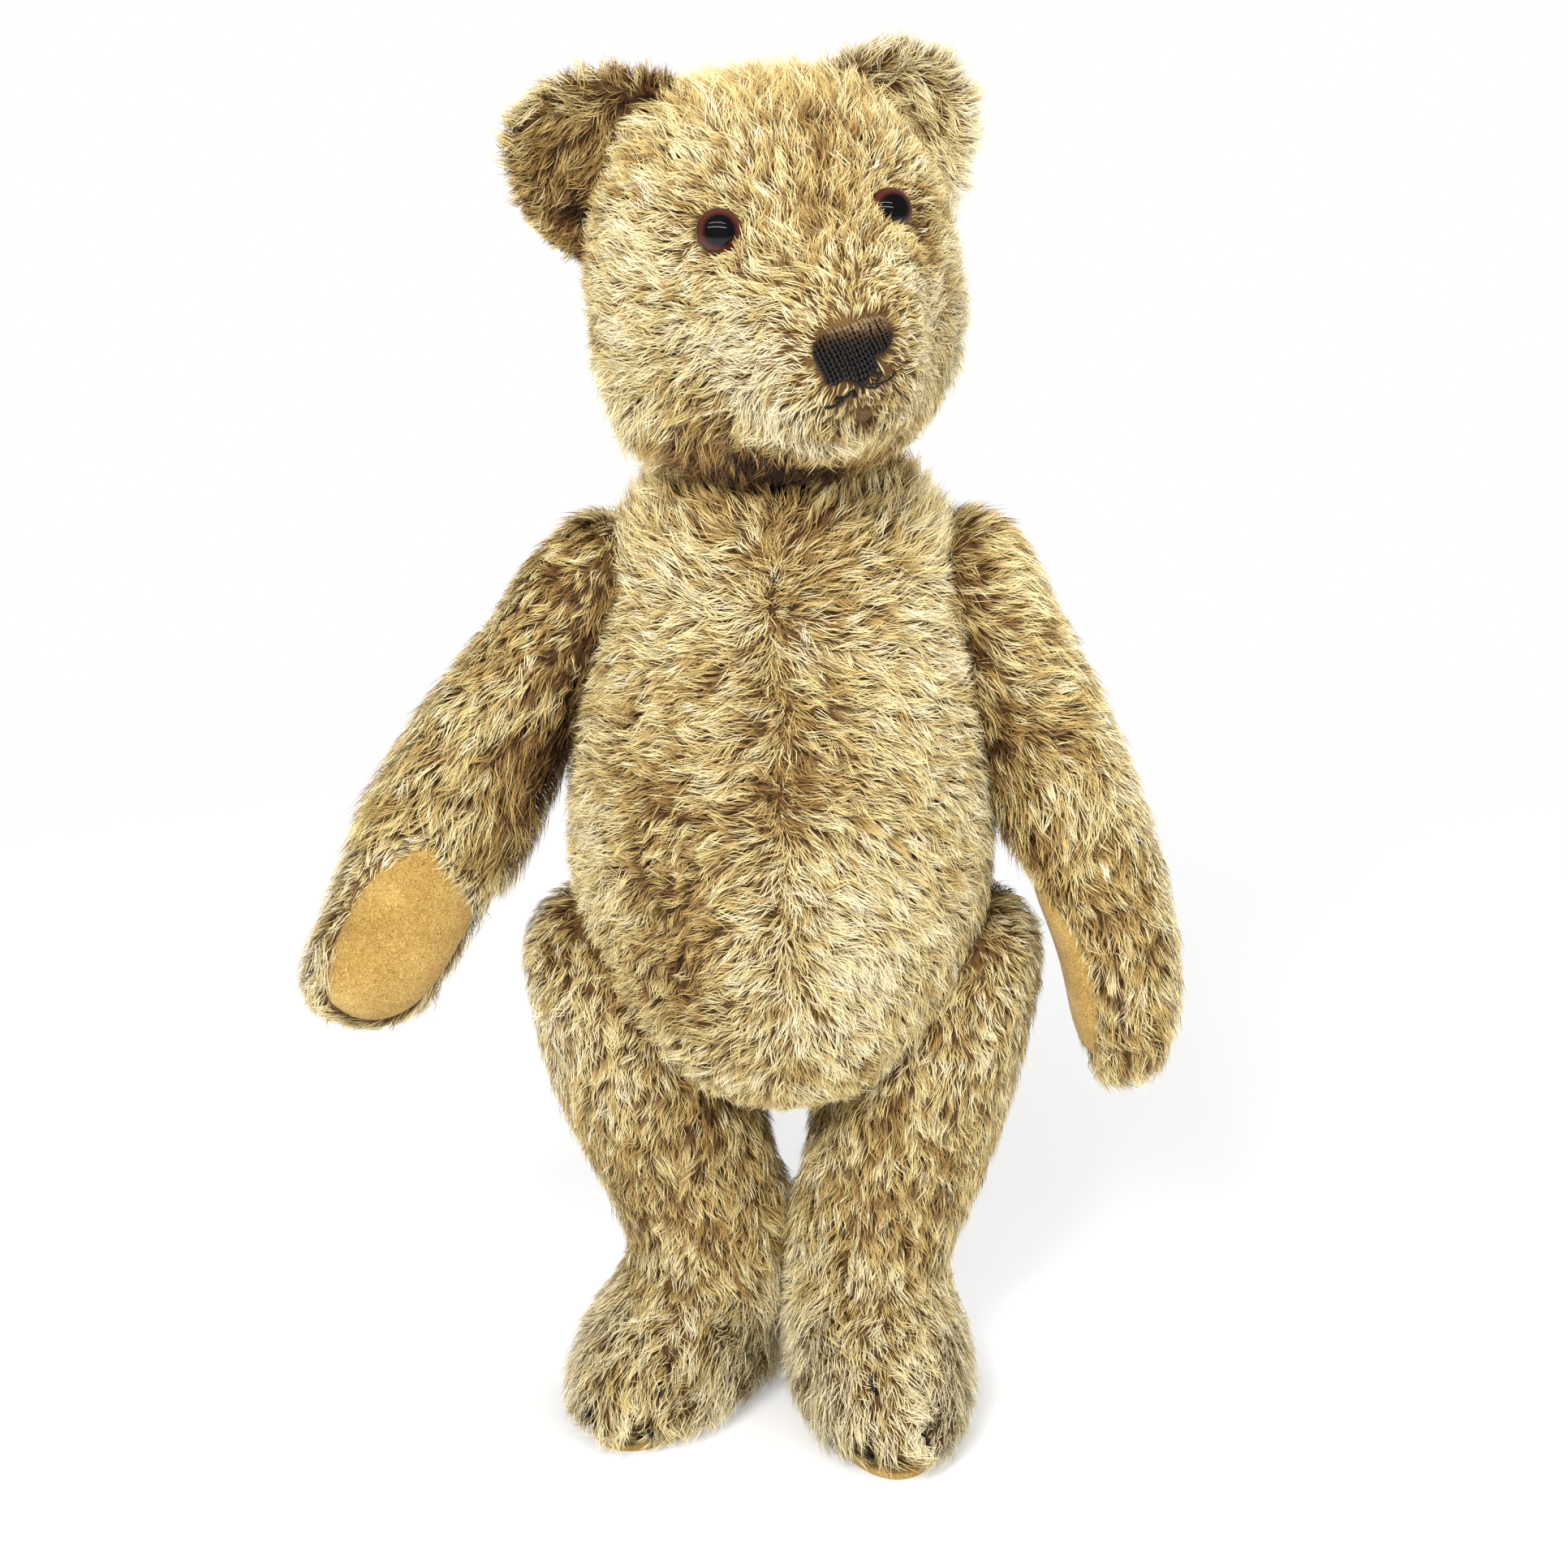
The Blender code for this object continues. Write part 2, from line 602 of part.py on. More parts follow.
def nose_and_mouth(form):
    """Satin stitches laid over the muzzle's end, and what is left of the mouth's thread."""
    half_width, half_height, height = NOSE
    low = (-half_width, -NOSE_DEPTH[1], height - half_height)
    high = (half_width, -NOSE_DEPTH[0], height + half_height)
    outline = box_cutter("nose_outline", low, high, neck_frame())
    bevel = outline.modifiers.new("corners", "BEVEL")
    bevel.width = NOSE_CORNER
    bevel.segments = 2
    outside = fattened(form, GAP + NOSE_THREAD, "nose_outside")
    inside = fattened(form, GAP, "nose_inside")
    part("nose_stitching", outside, "thread", PIVOTS["neck"], keep=[outline], remove=[inside])
    backwards = neck_frame().to_3x3() @ Vector((0, 1, 0))
    points = []
    for sideways, drop in MOUTH:
        ahead = Vector((sideways * MM, -FAR, height - half_height - drop * MM))
        spot, normal = surface_spot(form, neck_frame() @ ahead, backwards)
        points.append(spot + normal * (MOUTH_THREAD + 3 * GAP))
    tube("mouth_thread", points, MOUTH_THREAD, "thread", PIVOTS["neck"])


def head():
    sections = head_sections()
    form = loft("head_form", sections, SEGMENTS, HEAD_SQUARENESS)
    hollow = loft("head_hollow", shrunk(sections, COVER), SEGMENTS, HEAD_SQUARENESS)
    seat = seat_cutters("neck", False)
    cut(hollow, [seat["hollow"]])
    frames = {side: eye_frame(form, side, sign) for side, sign in (("left", 1), ("right", -1))}
    room_r, room_depth = SHANK_ROOM
    sockets, shank_holes = [], []
    for side, frame in frames.items():
        rim = EYE_R + GAP
        sockets.append(cone_cutter(f"{side}_socket", frame, -SOCKET, ABOVE, rim, rim, 20))
        shank_holes.append(cone_cutter(f"{side}_shank_hole", frame, -room_depth, 0, room_r, room_r, 16))
    openings = [hollow, seat["plane"], seat["disc"], seat["hole"], *sockets, *shank_holes]
    strip = gusset_cutter("gusset", 0.0)
    around = gusset_cutter("gusset_gap", GAP)
    pivot = PIVOTS["neck"]
    part("head_gusset", form, "mohair", pivot, keep=[strip], remove=openings)
    for side, sign in (("left", 1), ("right", -1)):
        low, high = sorted((sign * GAP / 2, sign * FAR))
        half = box_cutter(f"head_{side}_half", (low, -FAR, -FAR), (high, FAR, FAR), neck_frame())
        part(f"head_{side}_cheek", form, "mohair", pivot, keep=[half], remove=[around, *openings])
    core = loft("head_core", shrunk(sections, COVER + GAP, GAP, GAP), SEGMENTS, HEAD_SQUARENESS)
    pockets = [seat[key] for key in ("stuffing", "disc", "hardware")]
    part("head_stuffing", core, "wood_wool", pivot, remove=[*pockets, *shank_holes])
    clear_of_head = fattened(form, GAP, "ear_clearance")
    for side, sign in (("left", 1), ("right", -1)):
        eye(side, frames[side])
        ear(side, sign, clear_of_head)
    nose_and_mouth(form)


# Arms: an outer panel, an inner panel, and a felt pad on the inside of the paw.


def arm_axes(side):
    """The joint's centre, and the directions out of the torso, down the arm, and forward across it."""
    joint = JOINTS[f"{side}_shoulder"][0]
    out = joint.col[2].to_3d()
    forward = Vector((0, -1, 0))
    down = Vector((math.copysign(out.z, out.x), 0, -abs(out.x)))
    swing_down = down * math.cos(ARM_FORWARD) + forward * math.sin(ARM_FORWARD)
    swing_forward = forward * math.cos(ARM_FORWARD) - down * math.sin(ARM_FORWARD)
    return joint.translation, out, swing_down, swing_forward


def arm_frame(side, section):
    """The frame of one section: X is the arm's outer face, Y runs across its width."""
    centre, out, down, forward = arm_axes(side)
    along, outward, ahead, _, _, twist_degrees = section
    twist = math.radians(twist_degrees)
    spot = centre + down * along * MM + out * outward * MM + forward * ahead * MM
    face = out * math.cos(twist) - forward * math.sin(twist)
    width = out * math.sin(twist) + forward * math.cos(twist)
    return frame_at(spot, face, width)


def section_at(sections, along):
    """The section at a distance down the arm: between the two around it, or the end section moved there."""
    for before, after in zip(sections, sections[1:]):
        if before[0] <= along <= after[0]:
            share = (along - before[0]) / (after[0] - before[0])
            return tuple(a + (b - a) * share for a, b in zip(before, after))
    end = sections[0] if along < sections[0][0] else sections[-1]
    return (along, *end[1:])


def outer_side(name, side, sections, start):
    """A cutter over the outer face, from a distance past the seam, that follows the arm's twist."""
    bm = bmesh.new()
    rings = []
    for along in range(-40, 185, 8):
        frame = arm_frame(side, section_at(sections, along))
        rings.append(rectangle(bm, frame, (start, -ARM_REACH), (ARM_REACH, ARM_REACH)))
    skin(bm, rings)
    return link(name, mesh_from(name, bm), CUTTERS)


def beyond(name, side, along):
    """A cutter over all of the arm past a distance down it."""
    centre, _, down, forward = arm_axes(side)
    frame = frame_at(centre + down * along, forward, down)
    return box_cutter(name, (-ARM_REACH, 0, -ARM_REACH), (ARM_REACH, FAR, ARM_REACH), frame)


def arm(side, sections):
    joint = f"{side}_shoulder"
    pivot = PIVOTS[joint]
    rings = []
    for section in sections:
        thick, wide = section[3] * MM, section[4] * MM
        rings.append((arm_frame(side, section), thick, wide, wide))
    form = loft(f"{side}_arm_form", rings, LIMB_SEGMENTS)
    hollow = loft(f"{side}_arm_hollow", shrunk(rings, COVER), LIMB_SEGMENTS)
    seat = seat_cutters(joint, False)
    cut(hollow, [seat["hollow"]])
    openings = [hollow, seat["plane"], seat["disc"], seat["hole"]]
    outer = outer_side(f"{side}_arm_outer_side", side, sections, GAP / 2)
    past_seam = outer_side(f"{side}_arm_past_seam", side, sections, -GAP / 2)
    paw = beyond(f"{side}_paw", side, PAD_START[side])
    past_paw = beyond(f"{side}_past_paw", side, PAD_START[side] - GAP)
    part(f"{side}_arm_outer_panel", form, "mohair", pivot, keep=[outer], remove=openings)
    part(f"{side}_arm_inner_panel", form, "mohair", pivot, remove=[past_seam, past_paw, *openings])
    part(f"{side}_paw_pad", form, "felt", pivot, keep=[paw], remove=[past_seam, *openings])
    core = loft(f"{side}_arm_core", shrunk(rings, COVER + GAP, GAP, GAP), LIMB_SEGMENTS)
    pockets = [seat[key] for key in ("stuffing", "disc", "hardware")]
    part(f"{side}_arm_stuffing", core, "wood_wool", pivot, remove=pockets)


# Legs: an outer panel, an inner panel, and a flat felt sole.


def leg_rings(side, sign):
    rings = []
    for height, outward, ahead, wide, front, back, toe_out in LEGS[side]:
        step = STEP[side] * max(0.0, 1 - height * MM / HIP_HEIGHT)
        turn = Matrix.Rotation(sign * math.radians(toe_out), 4, "Z")
        place = Matrix.Translation((sign * outward * MM, -ahead * MM - step, height * MM))
        rings.append((MIDDLE @ place @ turn, wide * MM, front * MM, back * MM))
    return rings


def leg_split(name, rings, low, high):
    """A cutter that follows the leg's turn, between two distances from the seam."""
    bm = bmesh.new()
    frames = [frame for frame, _, _, _ in rings]
    frames.insert(0, Matrix.Translation((0, 0, ABOVE)) @ frames[0])
    frames.append(Matrix.Translation((0, 0, -ABOVE)) @ frames[-1])
    skin(bm, [rectangle(bm, frame, (low, -LEG_REACH), (high, LEG_REACH)) for frame in frames])
    return link(name, mesh_from(name, bm), CUTTERS)


def leg(side, sign):
    joint = f"{side}_hip"
    pivot = PIVOTS[joint]
    rings = leg_rings(side, sign)
    form = loft(f"{side}_leg_form", rings, LIMB_SEGMENTS)
    hollow = loft(f"{side}_leg_hollow", shrunk(rings, COVER, 0, -FELT, open_end=True), LIMB_SEGMENTS)
    seat = seat_cutters(joint, False)
    cut(hollow, [seat["hollow"]])
    openings = [hollow, seat["plane"], seat["disc"], seat["hole"]]
    for label, way in (("outer", sign), ("inner", -sign)):
        half = leg_split(f"{side}_leg_{label}", rings, *sorted((way * GAP / 2, way * LEG_REACH)))
        part(f"{side}_leg_{label}_panel", form, "mohair", pivot, keep=[half], remove=openings)
    core = loft(f"{side}_leg_core", shrunk(rings, COVER + GAP, GAP, open_end=True), LIMB_SEGMENTS)
    pockets = [seat[key] for key in ("stuffing", "disc", "hardware")]
    part(f"{side}_leg_stuffing", core, "wood_wool", pivot, remove=pockets)
    bottom, wide, front, back = rings[-1]
    floor = Matrix.Translation((0, 0, -bottom.translation.z)) @ bottom
    top = Matrix.Translation((0, 0, FELT)) @ floor
    faces = [(floor, wide, front, back), (top, wide, front, back)]
    sole = loft(f"{side}_sole_form", faces, LIMB_SEGMENTS * 2)
    part(f"{side}_sole", sole, "felt", pivot)


torso()
head()
arm("left", LEFT_ARM)
arm("right", RIGHT_ARM)
leg("left", 1)
leg("right", -1)
for joint_name in JOINTS:
    hardware(joint_name)
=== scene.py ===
# %% [markdown]
# # A threadbare jointed teddy bear
# The real toy is five stuffed bags of mohair plush: a torso, a head, two arms and two legs. Each was cut
# from flat cloth, sewn inside out, turned, and packed hard with wood wool. Hardboard discs and cotter pins
# join them, and those come ready made with the frame, inside the cloth.
#
# This lesson rebuilds what shows: the plump forms, the combed and worn pile, the felt of the paws and
# soles, the glass eyes and the stitched nose. All lengths are metres unless a name ends in `_mm`.

# %% The frame and the helpers' modules
import json
import math
from contextlib import contextmanager

import bpy
import numpy as np
from mathutils import Matrix, Vector
from mathutils.bvhtree import BVHTree
from mathutils.kdtree import KDTree

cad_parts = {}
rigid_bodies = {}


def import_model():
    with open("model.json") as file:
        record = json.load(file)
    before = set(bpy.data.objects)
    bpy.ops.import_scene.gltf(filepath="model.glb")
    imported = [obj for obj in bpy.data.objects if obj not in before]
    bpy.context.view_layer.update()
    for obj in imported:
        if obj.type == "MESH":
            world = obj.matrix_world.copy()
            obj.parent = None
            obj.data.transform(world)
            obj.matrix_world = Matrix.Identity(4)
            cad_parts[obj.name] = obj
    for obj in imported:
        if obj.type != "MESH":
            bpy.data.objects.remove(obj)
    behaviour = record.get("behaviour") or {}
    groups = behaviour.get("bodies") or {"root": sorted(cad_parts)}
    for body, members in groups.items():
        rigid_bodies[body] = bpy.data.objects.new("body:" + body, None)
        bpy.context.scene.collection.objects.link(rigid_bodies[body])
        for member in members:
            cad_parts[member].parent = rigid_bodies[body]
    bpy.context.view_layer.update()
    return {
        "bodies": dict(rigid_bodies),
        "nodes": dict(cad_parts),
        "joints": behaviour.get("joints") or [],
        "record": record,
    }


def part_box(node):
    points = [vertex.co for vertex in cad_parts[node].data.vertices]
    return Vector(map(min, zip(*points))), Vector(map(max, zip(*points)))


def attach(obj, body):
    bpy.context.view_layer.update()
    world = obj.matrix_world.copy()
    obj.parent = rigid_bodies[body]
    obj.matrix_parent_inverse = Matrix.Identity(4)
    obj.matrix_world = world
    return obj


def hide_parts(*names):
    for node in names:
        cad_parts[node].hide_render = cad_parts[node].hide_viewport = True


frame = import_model()
MM = 0.001
PINS = {joint["name"]: Vector(joint["pos_m"]) for joint in frame["joints"]}
SIGNS = {"left": 1, "right": -1}  # the bear's left is along X
NECK = Vector((0.0, 0.002, 0.300))
MIDDLE = PINS["neck"] - NECK  # the bear's own middle line, seen from the frame's origin
print("the bear's middle line stands at", tuple(round(value, 4) for value in MIDDLE))

# %% [markdown]
# ## The camera
# A standing toy is seen from a little above, so that the face, the belly and the tops of the feet all show.
# The lens is a short telephoto, which keeps the head from looking swollen.

# %% Camera
EYE_POINT = MIDDLE + Vector((0, -0.85, 0.4762))
LOOK_DOWN = math.radians(18)
bpy.ops.object.camera_add(location=EYE_POINT, rotation=(math.radians(90) - LOOK_DOWN, 0, 0))
camera = bpy.context.object
camera.name = "camera"
camera.data.sensor_width = 36
camera.data.lens = 68.3
bpy.context.scene.camera = camera
print("camera at", tuple(round(value, 3) for value in camera.location))

# %% [markdown]
# ## Colour and node helpers
# Paint charts and cloth cards give colours as sRGB hex, but a shader works in linear light, so one function
# turns one into the other. A second adds a node with its settings and links, which keeps each material
# short enough to read as a recipe.


# %% Colour and node helpers
def linear(hex_colour):
    values = [int(hex_colour[i : i + 2], 16) / 255 for i in (1, 3, 5)]
    return [*(v / 12.92 if v <= 0.04045 else ((v + 0.055) / 1.055) ** 2.4 for v in values), 1.0]


def add_node(material, kind, settings=(), **links):
    """Adds a node. Settings are attributes or sockets; links feed a socket by name, or by i and number."""
    node = material.node_tree.nodes.new(kind)
    for key, value in dict(settings).items():
        if isinstance(key, str) and hasattr(node, key):
            setattr(node, key, value)
        else:
            node.inputs[key].default_value = value
    for key, source in links.items():
        socket = int(key[1:]) if key[0] == "i" and key[1:].isdigit() else key
        material.node_tree.links.new(source, node.inputs[socket])
    return node


def new_finish(name, **values):
    """A material with only its Principled shader, whose sockets are set by name."""
    material = bpy.data.materials.new(name)
    material.use_nodes = True
    shader = material.node_tree.nodes["Principled BSDF"]
    for key, value in values.items():
        shader.inputs[key.replace("_", " ")].default_value = value
    return material, shader


def ramp(material, source, stops, shader=None):
    """A colour ramp through (position, hex) stops, which colours the shader if one is given."""
    node = add_node(material, "ShaderNodeValToRGB", i0=source)
    elements = node.color_ramp.elements
    while len(elements) < len(stops):
        elements.new(0.5)
    for element, (position, colour) in zip(elements, stops):
        element.position = position
        element.color = linear(colour)
    if shader:
        material.node_tree.links.new(node.outputs["Color"], shader.inputs["Base Color"])
    return node.outputs["Color"]


def grain(material, scale, detail, distortion=0.0):
    """Noise in the piece's own space, of so many grains a metre."""
    spot = add_node(material, "ShaderNodeTexCoord").outputs["Object"]
    settings = {"Scale": scale, "Detail": detail, "Distortion": distortion}
    return add_node(material, "ShaderNodeTexNoise", settings, Vector=spot).outputs["Fac"]


def bump(material, shader, height, strength, depth_m):
    relief = add_node(material, "ShaderNodeBump", {"Strength": strength, "Distance": depth_m}, Height=height)
    material.node_tree.links.new(relief.outputs["Normal"], shader.inputs["Normal"])


def map_axes(material, map_name):
    """The two ways across a piece's own map."""
    place = add_node(material, "ShaderNodeUVMap", {"uv_map": map_name}).outputs["UV"]
    axes = add_node(material, "ShaderNodeSeparateXYZ", i0=place)
    return axes.outputs["X"], axes.outputs["Y"]


def new_piece(add, name, **shape):
    """The object that one of the primitive operators adds, under its own name."""
    bpy.ops.object.select_all(action="DESELECT")
    add(radius=1.0, **shape)
    bpy.context.object.name = name
    return bpy.context.object


print("caramel in linear light:", [round(v, 3) for v in linear("#C2A36A")])

# %% [markdown]
# ## Mohair pile
# Mohair is goat hair woven into a cotton backing. Each hair is smooth, so it has more lustre than wool, and
# on an old toy it is pale and clean at the tip and brown with dust at the root. The root colours are darker
# still, as painted shade deep in the pile. Every hair here carries its own map: across it runs the hair's
# tone, from soot through caramel to straw, and along it the way from root to tip. Both colours are read from
# that map, so the pile keeps its colours wherever it is combed.

# %% Mohair pile
HAIR_MAP = "OFBake"
mohair_pile, shader = new_finish("mohair_pile", Roughness=0.55, Specular_IOR_Level=0.2)
tone, along = map_axes(mohair_pile, HAIR_MAP)
TIP_COLOURS = [
    (0.0, "#1E150D"), (0.1, "#4C3018"), (0.2, "#7E5836"), (0.35, "#AF8A4E"),
    (0.5, "#D2B26E"), (0.65, "#EFD996"), (0.8, "#FEEFB9"), (1.0, "#FFF6D2"),
]
# Root colours: dust, and painted shade deep in the pile, which makes them darker than dust alone.
ROOT_DUST_AND_SHADE_COLOURS = [
    (0.0, "#0C0704"), (0.2, "#2C140A"), (0.35, "#361D0C"),
    (0.5, "#462A10"), (0.7, "#60421C"), (1.0, "#8C6A2C"),
]
tips = ramp(mohair_pile, tone, TIP_COLOURS)
dusty_shaded_roots = ramp(mohair_pile, tone, ROOT_DUST_AND_SHADE_COLOURS)
rise = add_node(mohair_pile, "ShaderNodeMapRange", {"From Min": 0.2, "From Max": 0.82}, i0=along).outputs[0]
hair = add_node(mohair_pile, "ShaderNodeMix", {"data_type": "RGBA"}, i0=rise, i6=dusty_shaded_roots, i7=tips)
mohair_pile.node_tree.links.new(hair.outputs[2], shader.inputs["Base Color"])
print(mohair_pile.name, "has", len(mohair_pile.node_tree.nodes), "nodes")

# %% Cotton backing under the pile
# The backing is a plain weave of about 1 mm, browned by dust. It shows only where the pile is worn away.
THREADS_PER_M = 1100
backing, shader = new_finish("cotton_backing", Roughness=0.9)
ramp(backing, grain(backing, 90, 4), [(0.3, "#46301A"), (0.7, "#6B4E2A")], shader)
spot = add_node(backing, "ShaderNodeTexCoord").outputs["Object"]
threads = add_node(backing, "ShaderNodeTexVoronoi", {"Scale": THREADS_PER_M}, Vector=spot)
bump(backing, shader, threads.outputs["Distance"], 0.6, 0.0003)
print("backing weave: one cell every", round(1000 / THREADS_PER_M, 2), "mm")

# %% [markdown]
# ## Stuffed forms
# A stuffed limb is a tube of cloth that is pressed out from inside, so its sections are ovals that change
# slowly. Each form starts as a sphere primitive. Its latitudes are moved to the sections of the limb, its
# poles close the two ends, and a Subdivision Surface rounds what lies between. Cloth simulation would give
# folds, but this cloth is packed drum-tight with wood wool and hidden by its pile, so it has none to show.


# %% A form from its sections
CLOTH_INSET_MM = 2.0  # the cloth lies this far inside the matted pile
FORM_SEGMENTS = 28


def select_only(piece):
    bpy.ops.object.select_all(action="DESELECT")
    piece.select_set(True)
    bpy.context.view_layer.objects.active = piece


@contextmanager
def editing():
    """Edit mode with everything selected, and object mode again after it."""
    bpy.ops.object.mode_set(mode="EDIT")
    bpy.ops.mesh.select_all(action="SELECT")
    yield
    bpy.ops.object.mode_set(mode="OBJECT")


def finished(piece, material):
    """Applies the piece's modifiers, turns its faces outwards and gives it its material."""
    select_only(piece)
    for modifier in list(piece.modifiers):
        bpy.ops.object.modifier_apply(modifier=modifier.name)
    with editing():
        bpy.ops.mesh.normals_make_consistent(inside=False)
    bpy.ops.object.shade_smooth()
    piece.data.materials.clear()
    piece.data.materials.append(material)
    return piece


def rounded(piece, levels=1):
    modifier = piece.modifiers.new("rounding", "SUBSURF")
    modifier.levels = modifier.render_levels = levels


def even_sphere(name, segments, rings):
    """A UV sphere primitive with its points and faces put in one order, so that every run is alike."""
    shape = {"segments": segments, "ring_count": rings, "calc_uvs": False}
    sphere = new_piece(bpy.ops.mesh.primitive_uv_sphere_add, name, **shape)
    places = []
    for point in sphere.data.vertices:
        ring = round(math.acos(max(-1.0, min(1.0, point.co.z))) / math.pi * rings)
        step = round(math.atan2(point.co.y, point.co.x) / math.tau * segments) % segments
        places.append((ring, step if 0 < ring < rings else 0))
    order = sorted(places)
    faces = []
    for face in sphere.data.polygons:
        loop = [order.index(places[i]) for i in face.vertices]
        start = loop.index(min(loop))
        faces.append(loop[start:] + loop[:start])
    points = []
    for ring, step in order:
        tilt, turn = math.pi * ring / rings, math.tau * step / segments
        points.append((math.sin(tilt) * math.cos(turn), math.sin(tilt) * math.sin(turn), math.cos(tilt)))
    sphere.data.clear_geometry()
    sphere.data.from_pydata(points, [], sorted(faces))
    return sphere


def stuffed_form(name, sections, squareness=1.0, floor=None, levels=1):
    """Sections are (frame, half width, depth to the frame's -Y, depth to its +Y) in mm.

    Where a floor is given as a matrix, what would lie under its XY plane is pressed flat against it.
    """
    form = even_sphere(name, FORM_SEGMENTS, len(sections) + 1)
    rings = sorted({round(point.co.z, 4) for point in form.data.vertices})
    for point in form.data.vertices:
        ring = rings.index(round(point.co.z, 4))
        place, wide, front, back = sections[min(max(ring - 1, 0), len(sections) - 1)]
        if ring in (0, len(rings) - 1):
            point.co = place.translation
            continue
        flat = point.co.xy.normalized()
        x, y = (math.copysign(abs(value) ** squareness, value) for value in flat)
        deep = (front if y < 0 else back) - CLOTH_INSET_MM
        point.co = place @ Vector((x * (wide - CLOTH_INSET_MM) * MM, y * deep * MM, 0))
    if floor is not None:
        for point in form.data.vertices:
            local = floor.inverted() @ point.co
            local.z = max(local.z, 0.0)
            point.co = floor @ local
    rounded(form, levels)
    return finished(form, backing)


# %% [markdown]
# ## The torso
# The torso is a pear of two panels, widest at the hips, with a seam down the front and one down the back.

# %% Torso
# Height, half width, depth in front and depth behind, in mm.
TORSO_MM = [
    (103, 9, 12, 10), (107, 20, 27, 22), (116, 34, 43, 36), (126, 45, 51, 42), (138, 53.5, 56.5, 46),
    (162, 61, 61, 50), (190, 63, 61, 50), (216, 61.5, 57, 48), (240, 58, 51, 46), (262, 53, 44, 43),
    (278, 45, 38, 38), (290, 37, 33, 33), (297, 31, 29, 29), (299, 16, 14, 14),
]
TO_MIDDLE = Matrix.Translation(MIDDLE)
torso_sections = [(TO_MIDDLE @ Matrix.Translation((0, 0, z * MM)), *sizes) for z, *sizes in TORSO_MM]
torso = stuffed_form("torso_cloth", torso_sections)
print(torso.name, len(torso.data.polygons), "faces")

# %% [markdown]
# ## The head
# The head is three panels: two cheeks, and a gusset that runs over the crown. It leans a little to the
# bear's right and looks to its left. Its sections are stacked from the nape forwards, in the neck's own
# frame, so the same turn carries the eyes, ears and nose later. The neck's disc presses its underside flat.

# %% Head
HEAD_TURN = Matrix.Rotation(math.radians(-5), 4, "Y") @ Matrix.Rotation(math.radians(16), 4, "Z")
HEAD_FRAME = TO_MIDDLE @ Matrix.Translation(NECK) @ HEAD_TURN
# Distance forward of the neck, centre height, half width, depth below and depth above, in mm.
HEAD_MM = [
    (-49, 54, 11, 11, 11), (-45, 54, 24, 24, 24), (-35, 53, 37.5, 39, 39), (-20, 52, 47.5, 54, 49),
    (-4, 52, 52, 58, 53.5), (12, 51, 52, 57, 52.5), (26, 49, 47, 51, 48), (38, 47, 39, 46, 39.5),
    (48, 45, 31, 39, 29.5), (58, 43.5, 26.5, 32, 22.5), (69, 43, 23.5, 26.5, 19), (77, 43, 18, 19, 15),
    (81.5, 43, 10, 11, 9),
]
HEAD_SQUARENESS = 0.8  # 1 is an oval; less fills out the jowls


def head_section(forward, height, *sizes):
    upright = Matrix(((1, 0, 0), (0, 0, -1), (0, 1, 0))).to_4x4()  # the section's Y is the head's up
    upright.translation = Vector((0, -forward, height)) * MM
    return (HEAD_FRAME @ upright, *sizes)


head_floor = HEAD_FRAME @ Matrix.Translation((0, 0, 1.5 * MM))
head_sections = [head_section(*row) for row in HEAD_MM]
head = stuffed_form("head_cloth", head_sections, HEAD_SQUARENESS, head_floor, levels=2)
print(head.name, len(head.data.polygons), "faces")

# %% [markdown]
# ## Arms and legs
# An arm hangs from its shoulder pin, and its sections are counted down from the pin. The bear's right arm
# twists on its way down, so that the felt of its paw faces the viewer. A leg is a column that runs out into
# a long flat foot. The bear's right foot is turned out further than its left.

# %% Arms
ARM_FORWARD = math.radians(6)
# Distance down from the pin, outward, ahead, half thickness and half width in mm, and twist in degrees.
ARM_TOP_MM = [(-21, 9, 0, 5, 8, 0), (-18, 10, 0, 11, 15, 0)]
ARM_MM = {
    "left": [
        *ARM_TOP_MM, (-10, 10.5, 0, 15, 21, 0),
        (0, 11.5, 0, 17, 23.5, 0), (20, 15, 1, 18.5, 23.5, 0), (45, 20.5, 3, 20, 23, 5),
        (70, 25, 5, 20.5, 22, 8), (93, 28, 7, 19, 21, 12), (106, 29.5, 8, 17.5, 20.5, 15),
        (121, 29.5, 9, 16.5, 20.5, 15), (136, 27.5, 9, 15, 20, 15), (147, 25.5, 8, 10, 15, 15),
        (151, 24.5, 8, 6, 9, 15),
    ],
    "right": [
        *ARM_TOP_MM, (-10, 11.5, 0, 15.5, 21, 0),
        (0, 14, 0, 18, 23.5, 4), (20, 19, 1, 19.5, 24, 16), (44, 28, 3, 19, 24.5, 38),
        (67, 34, 6, 18, 25, 55), (89, 38.5, 9, 16.5, 23.5, 65), (104, 42, 11, 16, 22, 70),
        (117, 45, 12, 15.5, 21.5, 72), (129, 47.5, 12.5, 14, 20.5, 72), (137, 49, 12, 11, 16, 72),
        (141, 50, 12, 7, 10, 72),
    ],
}
ARM_TILT = {"left": math.radians(12), "right": math.radians(14)}


def arm_axes(side):
    """Out of the torso along the pin, down the hanging arm, and forward across it."""
    way = SIGNS[side]
    tilt = ARM_TILT[side]
    out = Vector((way * math.cos(tilt), 0, math.sin(tilt)))
    down = Vector((way * math.sin(tilt), 0, -math.cos(tilt)))
    ahead = Vector((0, -1, 0))
    swung_down = down * math.cos(ARM_FORWARD) + ahead * math.sin(ARM_FORWARD)
    swung_ahead = ahead * math.cos(ARM_FORWARD) - down * math.sin(ARM_FORWARD)
    return out, swung_down, swung_ahead


def arm_frame(side, row):
    """A section's frame: X is out of the arm's outer face and Y across its width."""
    out, down, ahead = arm_axes(side)
    along, outward_mm, forward_mm, _, _, twist_degrees = row
    twist = math.radians(twist_degrees)
    face = out * math.cos(twist) - ahead * math.sin(twist)
    across = out * math.sin(twist) + ahead * math.cos(twist)
    matrix = Matrix((face, across, face.cross(across))).transposed().to_4x4()
    from_pin = down * along + out * outward_mm + ahead * forward_mm
    matrix.translation = PINS[f"{side}_shoulder"] + from_pin * MM
    return matrix


